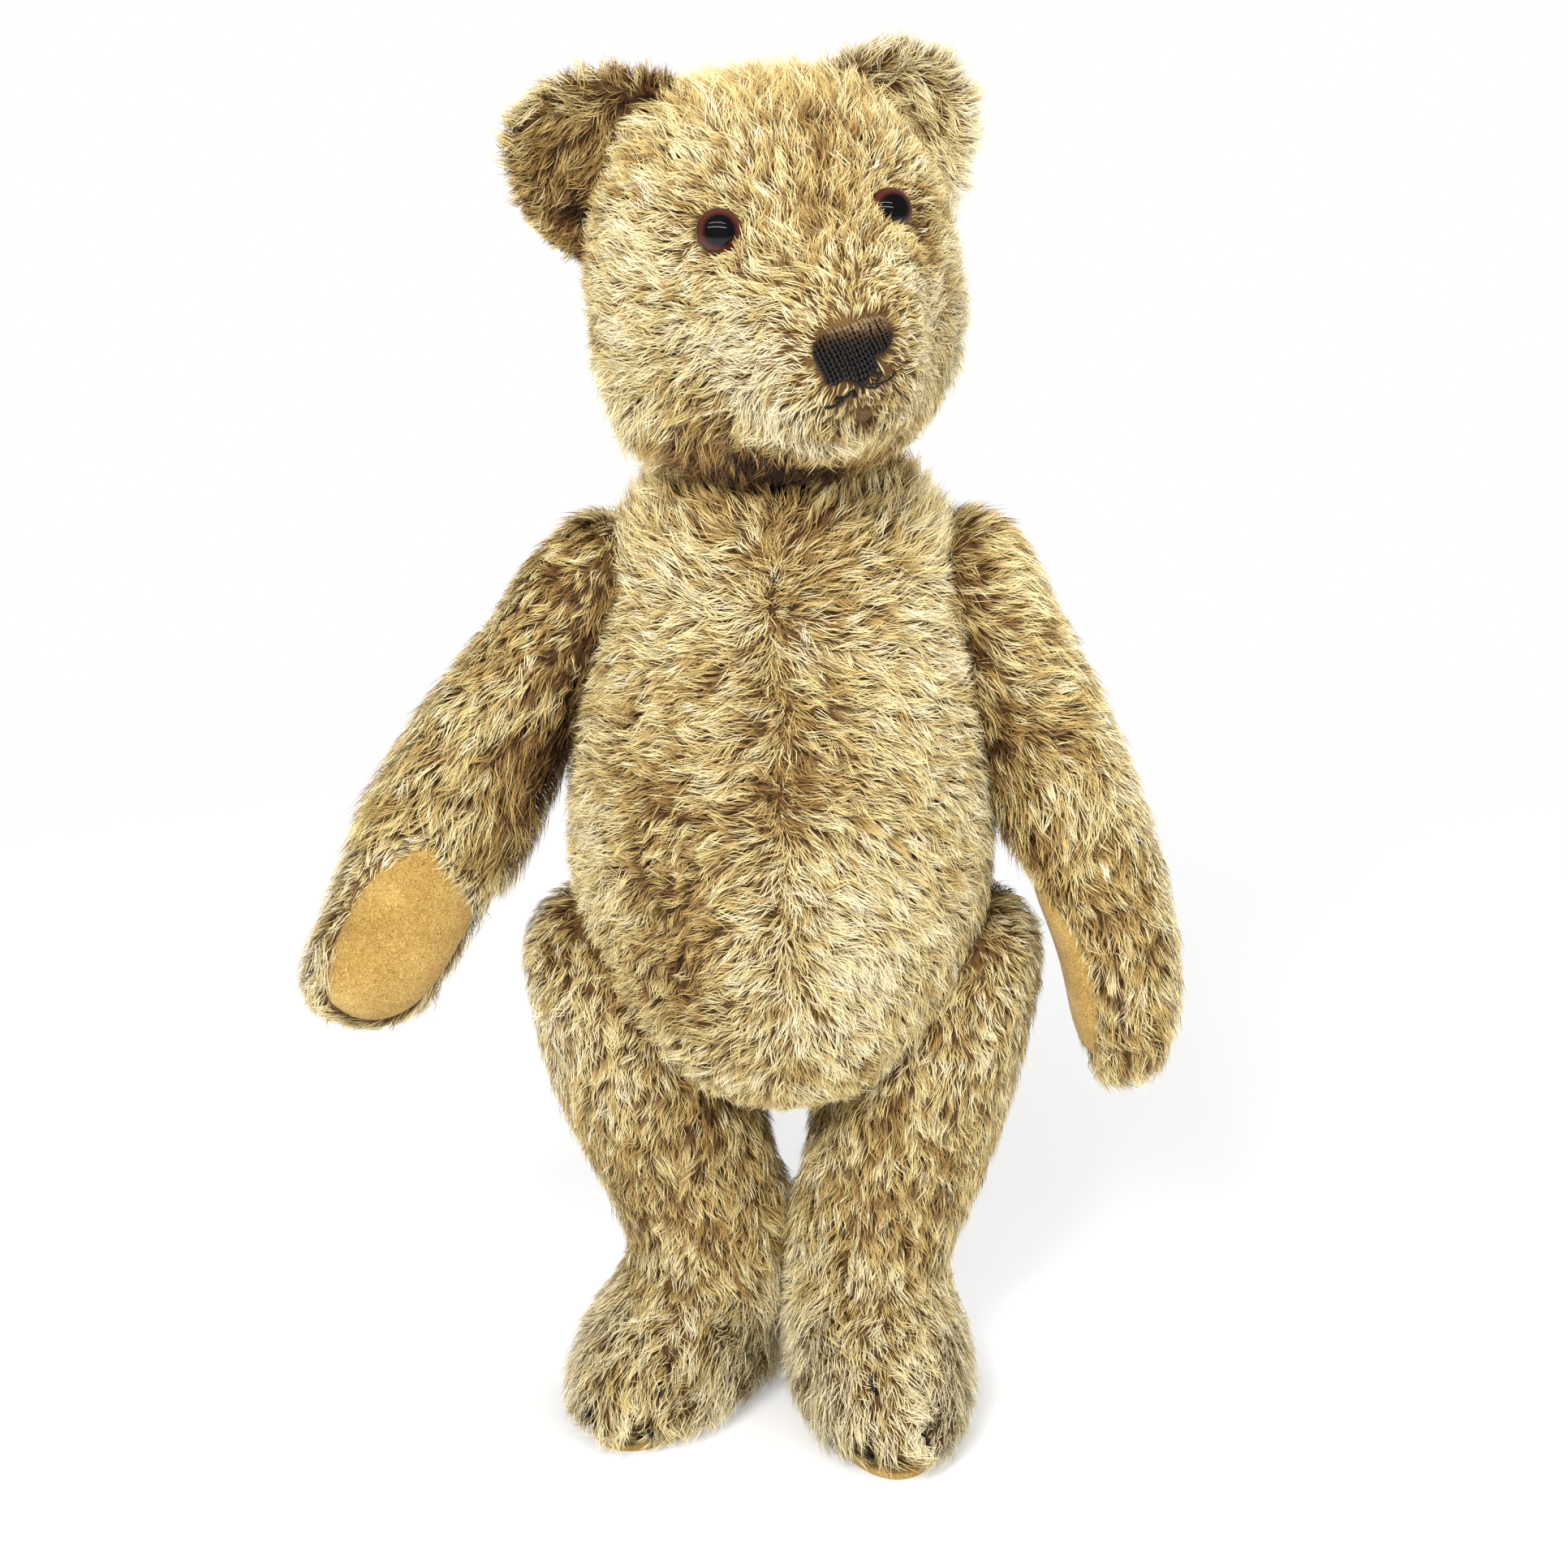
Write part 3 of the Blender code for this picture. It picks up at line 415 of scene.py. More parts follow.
arms = {}
for side, rows in ARM_MM.items():
    sections = [(arm_frame(side, row), row[3], row[4], row[4]) for row in rows]
    arms[side] = stuffed_form(f"{side}_arm_cloth", sections)
print({side: len(arm.data.polygons) for side, arm in arms.items()})

# %% Legs
# Height, outward, ahead, half width, front, back in mm, and toe-out in degrees.
THIGH_MM = [
    (164, 58, -2, 8, 9, 8, 0), (161, 58, -2, 15, 20, 16, 0), (153, 57, -2, 21, 29, 22, 0),
    (142, 54, -2, 24.5, 35, 26, 0),
]
LEG_MM = {
    "left": [
        *THIGH_MM, (125, 47.5, -1, 27.5, 37, 27, 0),
        (103, 40.5, 0, 29.5, 33.5, 27, 1), (82, 35.5, 0, 28, 28, 26, 2), (62, 30.5, 0, 25.5, 24.5, 25, 4),
        (48, 27.5, 0, 22.5, 27, 25, 5), (38, 27.5, 1, 23.5, 41, 26, 6), (26, 29, 1, 25.5, 52.5, 27, 6),
        (12, 29.5, 2, 26.5, 58.5, 27, 6), (3, 29.5, 2, 25.5, 57.5, 26, 6),
    ],
    "right": [
        *THIGH_MM, (125, 47.5, -1, 28.5, 37, 27, 0), (103, 40, 0, 30.5, 33.5, 27, 4),
        (82, 33, 0, 29.5, 28, 26, 10), (62, 26, 0, 25.5, 24.5, 25, 15), (48, 23.5, 0, 22, 27, 25, 19),
        (38, 25.5, 1, 23.5, 41, 25, 22), (26, 29.5, 1, 26.5, 52.5, 24, 24),
        (12, 30.5, 2, 28, 57.5, 24, 24), (3, 30.5, 2, 27, 56.5, 23, 24),
    ],
}
STEP_MM = {"left": 8, "right": -4}  # the bear's left foot stands a little ahead
HIP_HEIGHT_MM = 136


def leg_frame(side, height, outward_mm, forward_mm, toe_out):
    """A section's frame, level at its height, with -Y to the toes."""
    way = SIGNS[side]
    step = STEP_MM[side] * max(0.0, 1 - height / HIP_HEIGHT_MM)
    spot = Matrix.Translation(Vector((way * outward_mm, -forward_mm - step, height)) * MM)
    return TO_MIDDLE @ spot @ Matrix.Rotation(way * math.radians(toe_out), 4, "Z")


def foot_frame(side, height=0):
    """The foot's own frame at a height, with -Y to the toes."""
    _, outward_mm, forward_mm, *_, toe_out = LEG_MM[side][-1]
    return leg_frame(side, height, outward_mm, forward_mm, toe_out)


legs = {}
for side, rows in LEG_MM.items():
    sections = [(leg_frame(side, *row[:3], row[6]), *row[3:6]) for row in rows]
    legs[side] = stuffed_form(f"{side}_leg_cloth", sections)
print({side: len(leg.data.polygons) for side, leg in legs.items()})

# %% [markdown]
# ## Measures and smooth noise
# Wear and combing are written in the bear's own measures: from its middle line on the floor, or, on the
# head, from the neck. A lattice of seeded random numbers gives smooth noise, so that every run is alike.


# %% Measures and smooth noise
def bear_mm(points):
    """Points in millimetres from the bear's own middle line on the floor."""
    return (points - np.array(MIDDLE)) / MM


def local_mm(frame, points):
    """Points in millimetres in a frame of their own."""
    inverse = np.array(frame.inverted())
    return (points @ inverse[:3, :3].T + inverse[:3, 3]) / MM


def head_mm(points):
    """In the neck's frame, X is to the bear's left, -Y forwards and Z up."""
    return local_mm(HEAD_FRAME, points)


def numbers(items, name, width=3, kind=np.float32):
    """One property of all of a mesh's points, corners or triangles, as rows."""
    values = np.empty(len(items) * width, kind)
    items.foreach_get(name, values)
    return values.reshape(-1, width)


def unit(vectors):
    return vectors / np.maximum(np.linalg.norm(vectors, axis=1), 1e-9)[:, None]


LATTICE = np.random.default_rng(11).random((32, 32, 32, 3)) * 2 - 1


def drift(points, size_mm):
    """Three smooth noises from -1 to 1 at each point, with bumps of the given size."""
    spot = points / (size_mm * MM) + 512
    cell = np.floor(spot).astype(int)
    part = spot - cell
    part = part * part * (3 - 2 * part)
    total = np.zeros((len(points), 3))
    for corner in np.ndindex(2, 2, 2):
        share = np.prod(np.where(corner, part, 1 - part), axis=1)
        index = (cell + corner) % 32
        total += share[:, None] * LATTICE[index[:, 0], index[:, 1], index[:, 2]]
    return total


print("noise at the neck:", drift(np.array([PINS["neck"]]), 10).round(2))

# %% [markdown]
# ## Ears
# An ear is two round cloths sewn together and turned, then sewn to the head in a curve, so that it opens
# forwards like a shallow cup. A sphere is flattened, the front half of it is folded back inside the other
# half, and what would lie deep in the head is cut away with a bisect.

# %% Ears
SKULL_MM = Vector((0, 3, 52))
EAR_SEAT_MM = 47  # from the middle of the skull to the middle of an ear
EAR_RADII_MM = Vector((26, 13.5, 32.5))
EAR_FOLD = 0.35  # how deep the front is folded in, as a share of the back's depth
EAR_LINING = 0.9  # the front cloth's size, as a share of the back's
EAR_BASE_MM = 15
EAR_ANGLE = math.radians(52)
EAR_SHIFT_MM = {1: Vector((-2.5, 0, 0)), -1: Vector((0, 0, 3))}
EAR_TURN = {1: math.radians(-3), -1: math.radians(-9)}
EAR_OUTWARD = math.radians(16)


def ear_frame(sign):
    """Z points out along the ear and -Y is the side that it opens to."""
    out = Vector((sign * math.sin(EAR_ANGLE), 0, math.cos(EAR_ANGLE)))
    facing = Vector((sign * math.sin(EAR_OUTWARD), -math.cos(EAR_OUTWARD), 0))
    facing = (facing - out * facing.dot(out)).normalized()
    across = (-facing).cross(out)
    frame = Matrix((across, -facing, out)).transposed().to_4x4()
    frame.translation = (SKULL_MM + out * EAR_SEAT_MM + EAR_SHIFT_MM[sign]) * MM
    return HEAD_FRAME @ frame @ Matrix.Rotation(EAR_TURN[sign], 4, "Y")


def folded_ear(side, sign):
    ear = even_sphere(f"{side}_ear_cloth", 32, 20)
    for point in ear.data.vertices:
        x, y, z = point.co
        if y < 0:
            x, y, z = x * EAR_LINING, -y * EAR_FOLD, z * EAR_LINING
        point.co = Vector((x, y, z)) * MM
        point.co = Vector(a * b for a, b in zip(point.co, EAR_RADII_MM))
    base = (0, 0, -EAR_BASE_MM * MM)
    with editing():
        bpy.ops.mesh.bisect(plane_co=base, plane_no=(0, 0, -1), clear_outer=True, use_fill=True)
    ear.data.transform(ear_frame(sign))
    rounded(ear)
    return finished(ear, backing)


ears = {side: folded_ear(side, sign) for side, sign in SIGNS.items()}
print({side: len(ear.data.polygons) for side, ear in ears.items()})

# %% [markdown]
# ## Laying things on the cloth
# Felt, stitches and claws all lie on a form. A tree of the form's faces finds where a straight line meets
# it. Felt starts as a flat disc, is inset into rings, and each ring is laid on the form inside an outline.


# %% Places on a form
def surface_of(form):
    """A tree of a form's faces, in which lines and near points are found."""
    faces = [tuple(face.vertices) for face in form.data.polygons]
    return BVHTree.FromPolygons([point.co for point in form.data.vertices], faces)


REACH_MM = 60  # how far outside a form the lines start


def landed(tree, start, direction, above_mm=0.0):
    """Where the line from start meets the form, raised off it. Past its edge, the nearest point counts."""
    spot, normal, _, _ = tree.ray_cast(start, direction)
    if spot is None:
        spot, normal, _, _ = tree.find_nearest(start + direction * REACH_MM * MM)
    return spot + normal * above_mm * MM


def smooth_loop(points, count):
    """A closed curve through the points, as count places."""
    points = np.array(points, float)
    at = np.arange(count) * len(points) / count
    i, t = at.astype(int), (at % 1)[:, None]
    a, b, c, d = (points[(i + step) % len(points)] for step in (-1, 0, 1, 2))
    return 0.5 * (2 * b + (c - a) * t + (2 * a - 5 * b + 4 * c - d) * t**2 + (3 * b - a - 3 * c + d) * t**3)


def inside(loop, x, y):
    """Which of the points (x, y) lie inside the closed loop."""
    x0, y0 = loop.T
    x1, y1 = np.roll(loop, -1, axis=0).T
    y, x = y[:, None], x[:, None]
    spans = (y0 > y) != (y1 > y)
    return (spans & (x < (x1 - x0) * (y - y0) / (y1 - y0 + 1e-9) + x0)).sum(1) % 2 == 1


PATCH_AROUND = 56
PATCH_RINGS = 7
PATCH_WALL_MM = 1.1
EDGE_POWER = 9  # the higher, the nearer its edge a patch starts to turn down


def laid_patch(name, outline, place, material, thick_mm, sunk_mm=0.8):
    """A piece of cloth on a form. place(a, b, height) gives the point over the outline's place (a, b)."""
    patch = new_piece(bpy.ops.mesh.primitive_circle_add, name, vertices=PATCH_AROUND, fill_type="NGON")
    with editing():
        for _ in range(PATCH_RINGS - 1):
            bpy.ops.mesh.inset(thickness=1 / PATCH_RINGS, depth=0)
        bpy.ops.mesh.poke()
    loop = smooth_loop(outline, PATCH_AROUND)
    middle = loop.mean(axis=0)
    for point in patch.data.vertices:
        out = min(1.0, point.co.xy.length)
        turn = (math.atan2(point.co.y, point.co.x) / math.tau * PATCH_AROUND) % PATCH_AROUND
        step = int(turn + 1e-4)
        i = step % PATCH_AROUND
        rim = loop[i] + (loop[(i + 1) % PATCH_AROUND] - loop[i]) * max(0.0, turn - step)
        a, b = middle + (rim - middle) * out
        point.co = place(a, b, thick_mm - (thick_mm + sunk_mm) * out**EDGE_POWER)
    outward = place(*middle, 1.0) - place(*middle, 0.0)
    if sum(face.normal.dot(outward) for face in patch.data.polygons) < 0:
        patch.data.flip_normals()
    wall = patch.modifiers.new("thickness", "SOLIDIFY")
    wall.thickness = PATCH_WALL_MM * MM
    wall.offset = -1
    rounded(patch)
    return finished(patch, material)


# %% [markdown]
# ## Felt
# Paw pads and soles are wool felt. Its short fibres lie in every direction, so it has no weave, only a fine
# mottle a millimetre or so across, and it gives back almost no shine. This felt has been rubbed paler where
# it stands proud; here that shows only as a broad noise in its colour.

# %% Wool felt
MOTTLES_PER_M = 1300
felt, shader = new_finish("wool_felt", Roughness=0.95, Specular_IOR_Level=0.2, Sheen_Weight=0.1)
mottle = grain(felt, MOTTLES_PER_M, 3, 2.2)
mixing = {"operation": "MULTIPLY_ADD", 1: 0.35}
both = add_node(felt, "ShaderNodeMath", mixing, i0=grain(felt, 60, 2), i2=mottle).outputs["Value"]
ramp(felt, both, [(0.42, "#6A5022"), (0.56, "#8E6F38"), (0.72, "#B39250"), (0.88, "#CDB175")], shader)
bump(felt, shader, mottle, 0.5, 0.0003)
print("felt mottle: about", round(1000 / MOTTLES_PER_M, 1), "mm")


# %% Paw pads
def arm_mm(side, points):
    """Down from the pin, across the arm and out of its outer face, in mm, for each point."""
    out, down, ahead = (np.array(axis) for axis in arm_axes(side))
    rows = np.array(ARM_MM[side], float)
    local = (points - np.array(PINS[f"{side}_shoulder"])) / MM
    along = local @ down
    twist = np.radians(np.interp(along, rows[:, 0], rows[:, 5]))
    outward = local @ out - np.interp(along, rows[:, 0], rows[:, 1])
    forward = local @ ahead - np.interp(along, rows[:, 0], rows[:, 2])
    across = outward * np.sin(twist) + forward * np.cos(twist)
    return along, across, outward * np.cos(twist) - forward * np.sin(twist)


# Each outline is drawn on the arm's inner face: distance down from the pin, and across.
PAD_MM = {
    "right": [
        (79.5, 9), (82, 14), (88, 18), (98, 19.4), (110, 19.3), (122, 18.8), (131, 16.5), (138, 11.5),
        (142, 4), (142.5, -4), (138.5, -11), (131, -16.5), (120, -19.5), (109, -20), (102, -19.6), (98, -16),
        (91, -7), (84.5, 3),
    ],
    "left": [
        (84, -4), (87, 2), (93, 7), (103, 10.5), (115, 11.5), (128, 11), (138, 8), (144, 3), (146.5, -3),
        (145, -8), (140, -12.5), (132, -16), (121, -17.5), (108, -17), (97, -14.5), (89, -10),
    ],
}
PAD_THICK_MM = 2.0


def arm_row(side, along):
    """The arm's section at a distance down from the pin."""
    rows = np.array(ARM_MM[side], float)
    return (along, *(np.interp(along, rows[:, 0], rows[:, i]) for i in range(1, rows.shape[1])))


def arm_place(side, tree):
    def place(along, across, above_mm):
        matrix = arm_frame(side, arm_row(side, along))
        start = matrix @ Vector((-REACH_MM * MM, across * MM, 0))
        return landed(tree, start, matrix.to_3x3() @ Vector((1, 0, 0)), above_mm)

    return place


pads = {}
for side, arm in arms.items():
    place = arm_place(side, surface_of(arm))
    pads[side] = laid_patch(f"{side}_paw_felt", PAD_MM[side], place, felt, PAD_THICK_MM)
print("pad faces:", {side: len(pad.data.polygons) for side, pad in pads.items()})

# %% Soles
# A sole is a long oval that the foot's cloth is gathered onto. It lies flat on the floor.
SOLE_THICK_MM = 2.2
SOLE_INSET_MM = 4.2  # the pile over its edge hides the rest
soles = {}
for side in SIGNS:
    wide, front, back = LEG_MM[side][-1][3:6]
    sole = new_piece(bpy.ops.mesh.primitive_circle_add, f"{side}_sole_felt", vertices=64, fill_type="NGON")
    for point in sole.data.vertices:
        deep = (front if point.co.y < 0 else back) - SOLE_INSET_MM
        point.co = Vector((point.co.x * (wide - SOLE_INSET_MM), point.co.y * deep, 0)) * MM
    with editing():
        bpy.ops.mesh.extrude_region_move(TRANSFORM_OT_translate={"value": (0, 0, SOLE_THICK_MM * MM)})
    sole.data.transform(foot_frame(side))
    edge = sole.modifiers.new("edge", "BEVEL")
    edge.width = 0.7 * MM
    edge.segments = 2
    soles[side] = finished(sole, felt)
    bpy.ops.object.shade_smooth_by_angle(angle=math.radians(40))
print("sole faces:", {side: len(sole.data.polygons) for side, sole in soles.items()})

# %% [markdown]
# ## Thread
# The nose was sewn with waxed two-ply cotton, which shows its twist. One straight piece of thread is made
# from a flattened circle with a Screw modifier, and each stitch is a copy of it bent along its own path.
# The threads' colour runs from black, where the stitches are close and greasy, to worn brown; the palest
# brown also stands in for the sheen on the nose's upper threads, as a painted highlight.

# %% Cotton thread
thread, shader = new_finish("waxed_cotton_thread", Roughness=0.5, Specular_IOR_Level=0.45)
# Its palest brown is partly a painted highlight, for the sheen on the nose's upper threads.
THREAD_WEAR_AND_HIGHLIGHT_COLOURS = [(0.0, "#080504"), (0.35, "#110B07"), (0.55, "#241709"), (0.8, "#4A3620"), (1.0, "#8C7654")]
ramp(thread, map_axes(thread, HAIR_MAP)[0], THREAD_WEAR_AND_HIGHLIGHT_COLOURS, shader)
thread_pad, shader = new_finish("felted_thread_pad", Roughness=0.8)
ramp(thread_pad, grain(thread_pad, 1500, 3), [(0.4, "#0B0705"), (0.65, "#21150C")], shader)

STOCK_TURNS = 6
TWO_PLY = 0.55  # a flattened section shows the two plies when it is twisted
stock = new_piece(bpy.ops.mesh.primitive_circle_add, "thread_stock", vertices=8, fill_type="NOTHING")
for point in stock.data.vertices:
    point.co.y *= TWO_PLY
twist = stock.modifiers.new("twist", "SCREW")
twist.axis = "Z"
twist.screw_offset = 1 / STOCK_TURNS
twist.iterations = STOCK_TURNS
twist.steps = twist.render_steps = 9
twist.use_merge_vertices = False
select_only(stock)
bpy.ops.object.modifier_apply(modifier="twist")
with editing():
    bpy.ops.mesh.remove_doubles(threshold=1e-5)
    bpy.ops.mesh.select_all(action="DESELECT")
    bpy.ops.mesh.select_non_manifold()
    bpy.ops.mesh.edge_face_add()
    bpy.ops.mesh.select_all(action="SELECT")
    bpy.ops.mesh.normals_make_consistent(inside=False)
STOCK = stock.data.copy()
bpy.data.objects.remove(stock)
print("thread stock:", len(STOCK.vertices), "points")


# %% Stitches
BEND_LOOK = 0.04  # how far each way along a thread its direction is taken over
TAPER = 14  # a thread thins over this part of a length at each end, and no further than the share below
THIN = 0.35


def stitches(name, paths, radius_mm, worn=0.1):
    """Threads bent along paths of world points, as one piece. worn is a number, or a function of points."""
    made = []
    for path in paths:
        points = np.array([tuple(p) for p in path])
        steps = np.linalg.norm(np.diff(points, axis=0), axis=1)
        far = np.concatenate([[0], np.cumsum(steps)]) / steps.sum()
        mesh = STOCK.copy()
        values = numbers(mesh.vertices, "co")
        at = values[:, 2]
        before, centre, nearby = (
            np.stack([np.interp(np.clip(at + step, 0, 1), far, points[:, i]) for i in range(3)], axis=1)
            for step in (-BEND_LOOK, 0, BEND_LOOK)
        )
        along = unit(nearby - before)
        side = unit(np.cross(along, np.array([0.31, 0.9, 0.3])))  # any way that no thread runs
        up = np.cross(side, along)
        taper = np.clip(np.minimum(at, 1 - at) * TAPER, THIN, 1.0)[:, None] * radius_mm * MM
        spots = centre + (side * values[:, :1] + up * values[:, 1:2]) * taper
        mesh.vertices.foreach_set("co", spots.astype(np.float32).ravel())
        corners = numbers(mesh.loops, "vertex_index", 1, np.int32)[:, 0]
        tones = worn(spots) if callable(worn) else np.full(len(spots), worn)
        layer = mesh.uv_layers.get(HAIR_MAP) or mesh.uv_layers.new(name=HAIR_MAP)
        places = np.stack([tones[corners], at[corners]], axis=1)
        layer.data.foreach_set("uv", places.astype(np.float32).ravel())
        made.append(bpy.data.objects.new(name, mesh))
        bpy.context.scene.collection.objects.link(made[-1])
    select_only(made[0])
    for piece in made:
        piece.select_set(True)
    if len(made) > 1:
        bpy.ops.object.join()
    made[0].name = name
    made[0].data.uv_layers.active = made[0].data.uv_layers[HAIR_MAP]
    return finished(made[0], thread)


# %% [markdown]
# ## Nose and mouth
# The nose is satin stitch: upright threads laid side by side over a pad of the same thread. Its lower left
# corner has worn through to the cloth, and the last threads there hang loose. Only scraps of the mouth are
# left in the pile.

# %% Nose
head_tree = surface_of(head)
BACKWARDS = HEAD_FRAME.to_3x3() @ Vector((0, 1, 0))


def on_muzzle(x_mm, z_mm, above_mm=0.0):
    """The point of the muzzle's front at that place in the head's own frame."""
    return landed(head_tree, HEAD_FRAME @ (Vector((x_mm, -130, z_mm)) * MM), BACKWARDS, above_mm)


NOSE_MM = [
    (-9.9, 46.5), (-6, 48.6), (0, 49.8), (5, 50.2), (9, 48.6), (10.2, 44.8), (8.6, 41.2), (5.2, 39.8),
    (4.6, 35.6), (1.2, 33.4), (-3, 34.2), (-6.8, 33.8), (-9.2, 35.8), (-10.5, 40), (-11, 43.6),
]
nose_base = laid_patch("nose_base", NOSE_MM, on_muzzle, thread_pad, 0.7, 0.4)
nose_loop = smooth_loop(NOSE_MM, 240)
NOSE_SLANT = 0.36  # sideways for each mm down, as the stitches lean
STITCH_MM = 1.12
NOSE_LOW_MM, NOSE_HIGH_MM = 33.0, 50.5
HELD_STEPS = 8  # of the 60 down a stitch's line; a shorter stitch is left out
paths = []
rng = np.random.default_rng(5)
for x in np.arange(-13.6, 10.6, STITCH_MM):
    heights = np.linspace(NOSE_HIGH_MM, NOSE_LOW_MM, 60)
    across = x + (NOSE_HIGH_MM - heights) * NOSE_SLANT
    held = inside(nose_loop, across, heights)
    if held.sum() < HELD_STEPS:
        continue
    z_high, z_low = heights[held][0] + 0.4 * rng.random(), heights[held][-1] - 0.6 * rng.random()
    bulge = 1.45 + 0.12 * rng.standard_normal()
    lifts = [-0.3, *[bulge] * 7, -0.3]
    row = []
    for z, lift in zip(np.linspace(z_high, z_low, len(lifts)), lifts):
        row.append(on_muzzle(x + (NOSE_HIGH_MM - z) * NOSE_SLANT + 0.12 * rng.standard_normal(), z, lift))
    paths.append(row)


def nose_wear_and_highlight(spots):
    """Brown and rubbed above, and paler there as a painted highlight; black and greasy below."""
    rubbed = np.clip((head_mm(spots)[:, 2] - 41) / 7, 0, 1)
    return np.clip(0.12 + 0.75 * rubbed + 0.08 * drift(spots, 1.5)[:, 0], 0.02, 0.98)


nose = stitches("nose_threads", paths, 0.62, nose_wear_and_highlight)
print("nose stitches:", len(paths), "faces:", len(nose.data.polygons))

# %% Loose ends, mouth, claws and the neck knot
LOOSE_MM = [
    [(1.0, 34.6, 1.2), (3.0, 33.4, 1.8), (5.6, 33.2, 2.2), (8.4, 34.0, 2.0), (10.8, 35.0, 0.8)],
    [(-1.0, 34.6, 1.0), (0.6, 33.0, 1.8), (1.2, 31.6, 1.8), (1.0, 30.6, 1.0)],
    [(0.4, 34.2, 1.2), (2.2, 32.6, 1.9), (4.4, 32.4, 1.9), (7.0, 33.0, 0.9)],
    [(4.4, 39.6, 1.4), (4.8, 37.8, 2.0), (5.8, 36.0, 2.0), (6.4, 34.4, 1.0)],
    [(3.6, 37.4, 1.4), (4.6, 36.0, 2.1), (5.2, 34.6, 2.0), (4.6, 33.4, 1.2)],
]
MOUTH_MM = [
    [(-8.6, 28.6, 1.2), (-7.4, 29.0, 2.6), (-6.0, 29.4, 2.8), (-4.8, 29.8, 1.6)],
    [(-4.8, 30.4, 1.2), (-3.8, 31.2, 2.6), (-2.9, 31.8, 2.6), (-2.0, 32.2, 1.4)],
    [(-5.8, 30.6, 1.4), (-4.9, 30.9, 2.4), (-4.2, 30.2, 2.2)],
    [(-1.6, 32.4, 1.0), (-0.9, 31.4, 2.4), (-1.4, 30.6, 1.4)],
]


def paths_on(place, rows):
    """The world points for rows of places on a form."""
    return [[place(*spot) for spot in row] for row in rows]


loose = stitches("nose_loose_threads", paths_on(on_muzzle, LOOSE_MM), 0.42, 0.12)
mouth = stitches("mouth_threads", paths_on(on_muzzle, MOUTH_MM), 0.60, 0.05)

# What is left of the claws: on each foot, sideways and height of the top and bottom of a stitch.
CLAWS_MM = {
    "left": [(-7.5, 30, 25), (-8.5, 13, 7), (5.5, 15, 9)],
    "right": [(10.5, 24, 19), (9, 11, 7), (-7, 15, 11)],
}


def on_foot(side, tree, across_mm, height_mm, above_mm):
    frame_here = foot_frame(side, height_mm)
    start = frame_here @ (Vector((across_mm, -90, 0)) * MM)
    return landed(tree, start, frame_here.to_3x3() @ Vector((0, 1, 0)), above_mm)


claws = {}
for side, rows in CLAWS_MM.items():
    tree = surface_of(legs[side])
    paths = []
    for across, top, bottom in rows:
        places = zip(np.linspace(top, bottom, 5), (0.2, 3.0, 3.8, 3.2, 0.2))
        paths.append([on_foot(side, tree, across + 0.3 * i, z, lift) for i, (z, lift) in enumerate(places)])
    claws[side] = stitches(f"{side}_foot_claws", paths, 0.75, 0.02)

# On the left paw's edge: down the arm and across it, for a claw's two ends.
PAW_CLAWS_MM = [(116, 10, 124, 9), (121, 3, 128, 2), (133, 8, 139, 6)]
tree = surface_of(arms["left"])
paths = []
for along, across, along_end, across_end in PAW_CLAWS_MM:
    row = []
    for share, lift in ((0, 0.2), (0.3, 1.6), (0.7, 1.6), (1, 0.2)):
        section = (along + (along_end - along) * share, *arm_row("left", along)[1:])
        matrix = arm_frame("left", section)
        start = matrix @ (Vector((across + (across_end - across) * share, REACH_MM, 0)) * MM)
        row.append(landed(tree, start, matrix.to_3x3() @ Vector((0, -1, 0)), lift))
    paths.append(row)
claws["paw"] = stitches("left_paw_claws", paths, 0.5, 0.08)

torso_tree = surface_of(torso)


def on_torso(x_mm, z_mm, above_mm=0.0, front=True):
    way = 1 if front else -1
    start = TO_MIDDLE @ (Vector((x_mm, -120 * way, z_mm)) * MM)
    return landed(torso_tree, start, Vector((0, way, 0)), above_mm)


KNOT_MM = [
    [(-3.6, 272.5, 0.4), (-2.6, 273.6, 2.2), (-1.4, 272.9, 2.4), (-1.9, 271.6, 2.2), (-3.2, 271.8, 1.6)],
    [(-2.0, 274.6, 0.3), (-2.2, 273.2, 2.6), (-2.8, 271.9, 2.8), (-2.6, 270.2, 1.2)],
]
knot = stitches("front_knot", paths_on(on_torso, KNOT_MM), 0.5, 0.5)

# %% [markdown]
# ## Closing seam
# A bear is stuffed through its back, and the opening is then sewn up by hand with a ladder stitch. The
# thread crosses the seam in short steps, nearly lost in the pile.

# %% Closing seam at the back
LADDER_FROM_MM, LADDER_TO_MM, LADDER_STEP_MM = 162, 236, 9
paths = []
for z in np.arange(LADDER_FROM_MM, LADDER_TO_MM, LADDER_STEP_MM):
    ladder = [(-2.4, z, 0.1), (-1.2, z + 0.4, 0.9), (1.2, z + 0.9, 0.9), (2.4, z + 1.2, 0.1)]
    paths.append([on_torso(*place, front=False) for place in ladder])
ladder_stitches = stitches("back_closing_stitches", paths, 0.4, 0.95)

# %% [markdown]
# ## Glass eyes
# The eyes are blown glass buttons: a clear dome whose back is painted red-brown around a black pupil. The
# paint shows through the gloss, so here the colour lies under a clear coat on one domed piece. Its own flat
# map gives the distance from the middle, which no stretching of the dome can change.

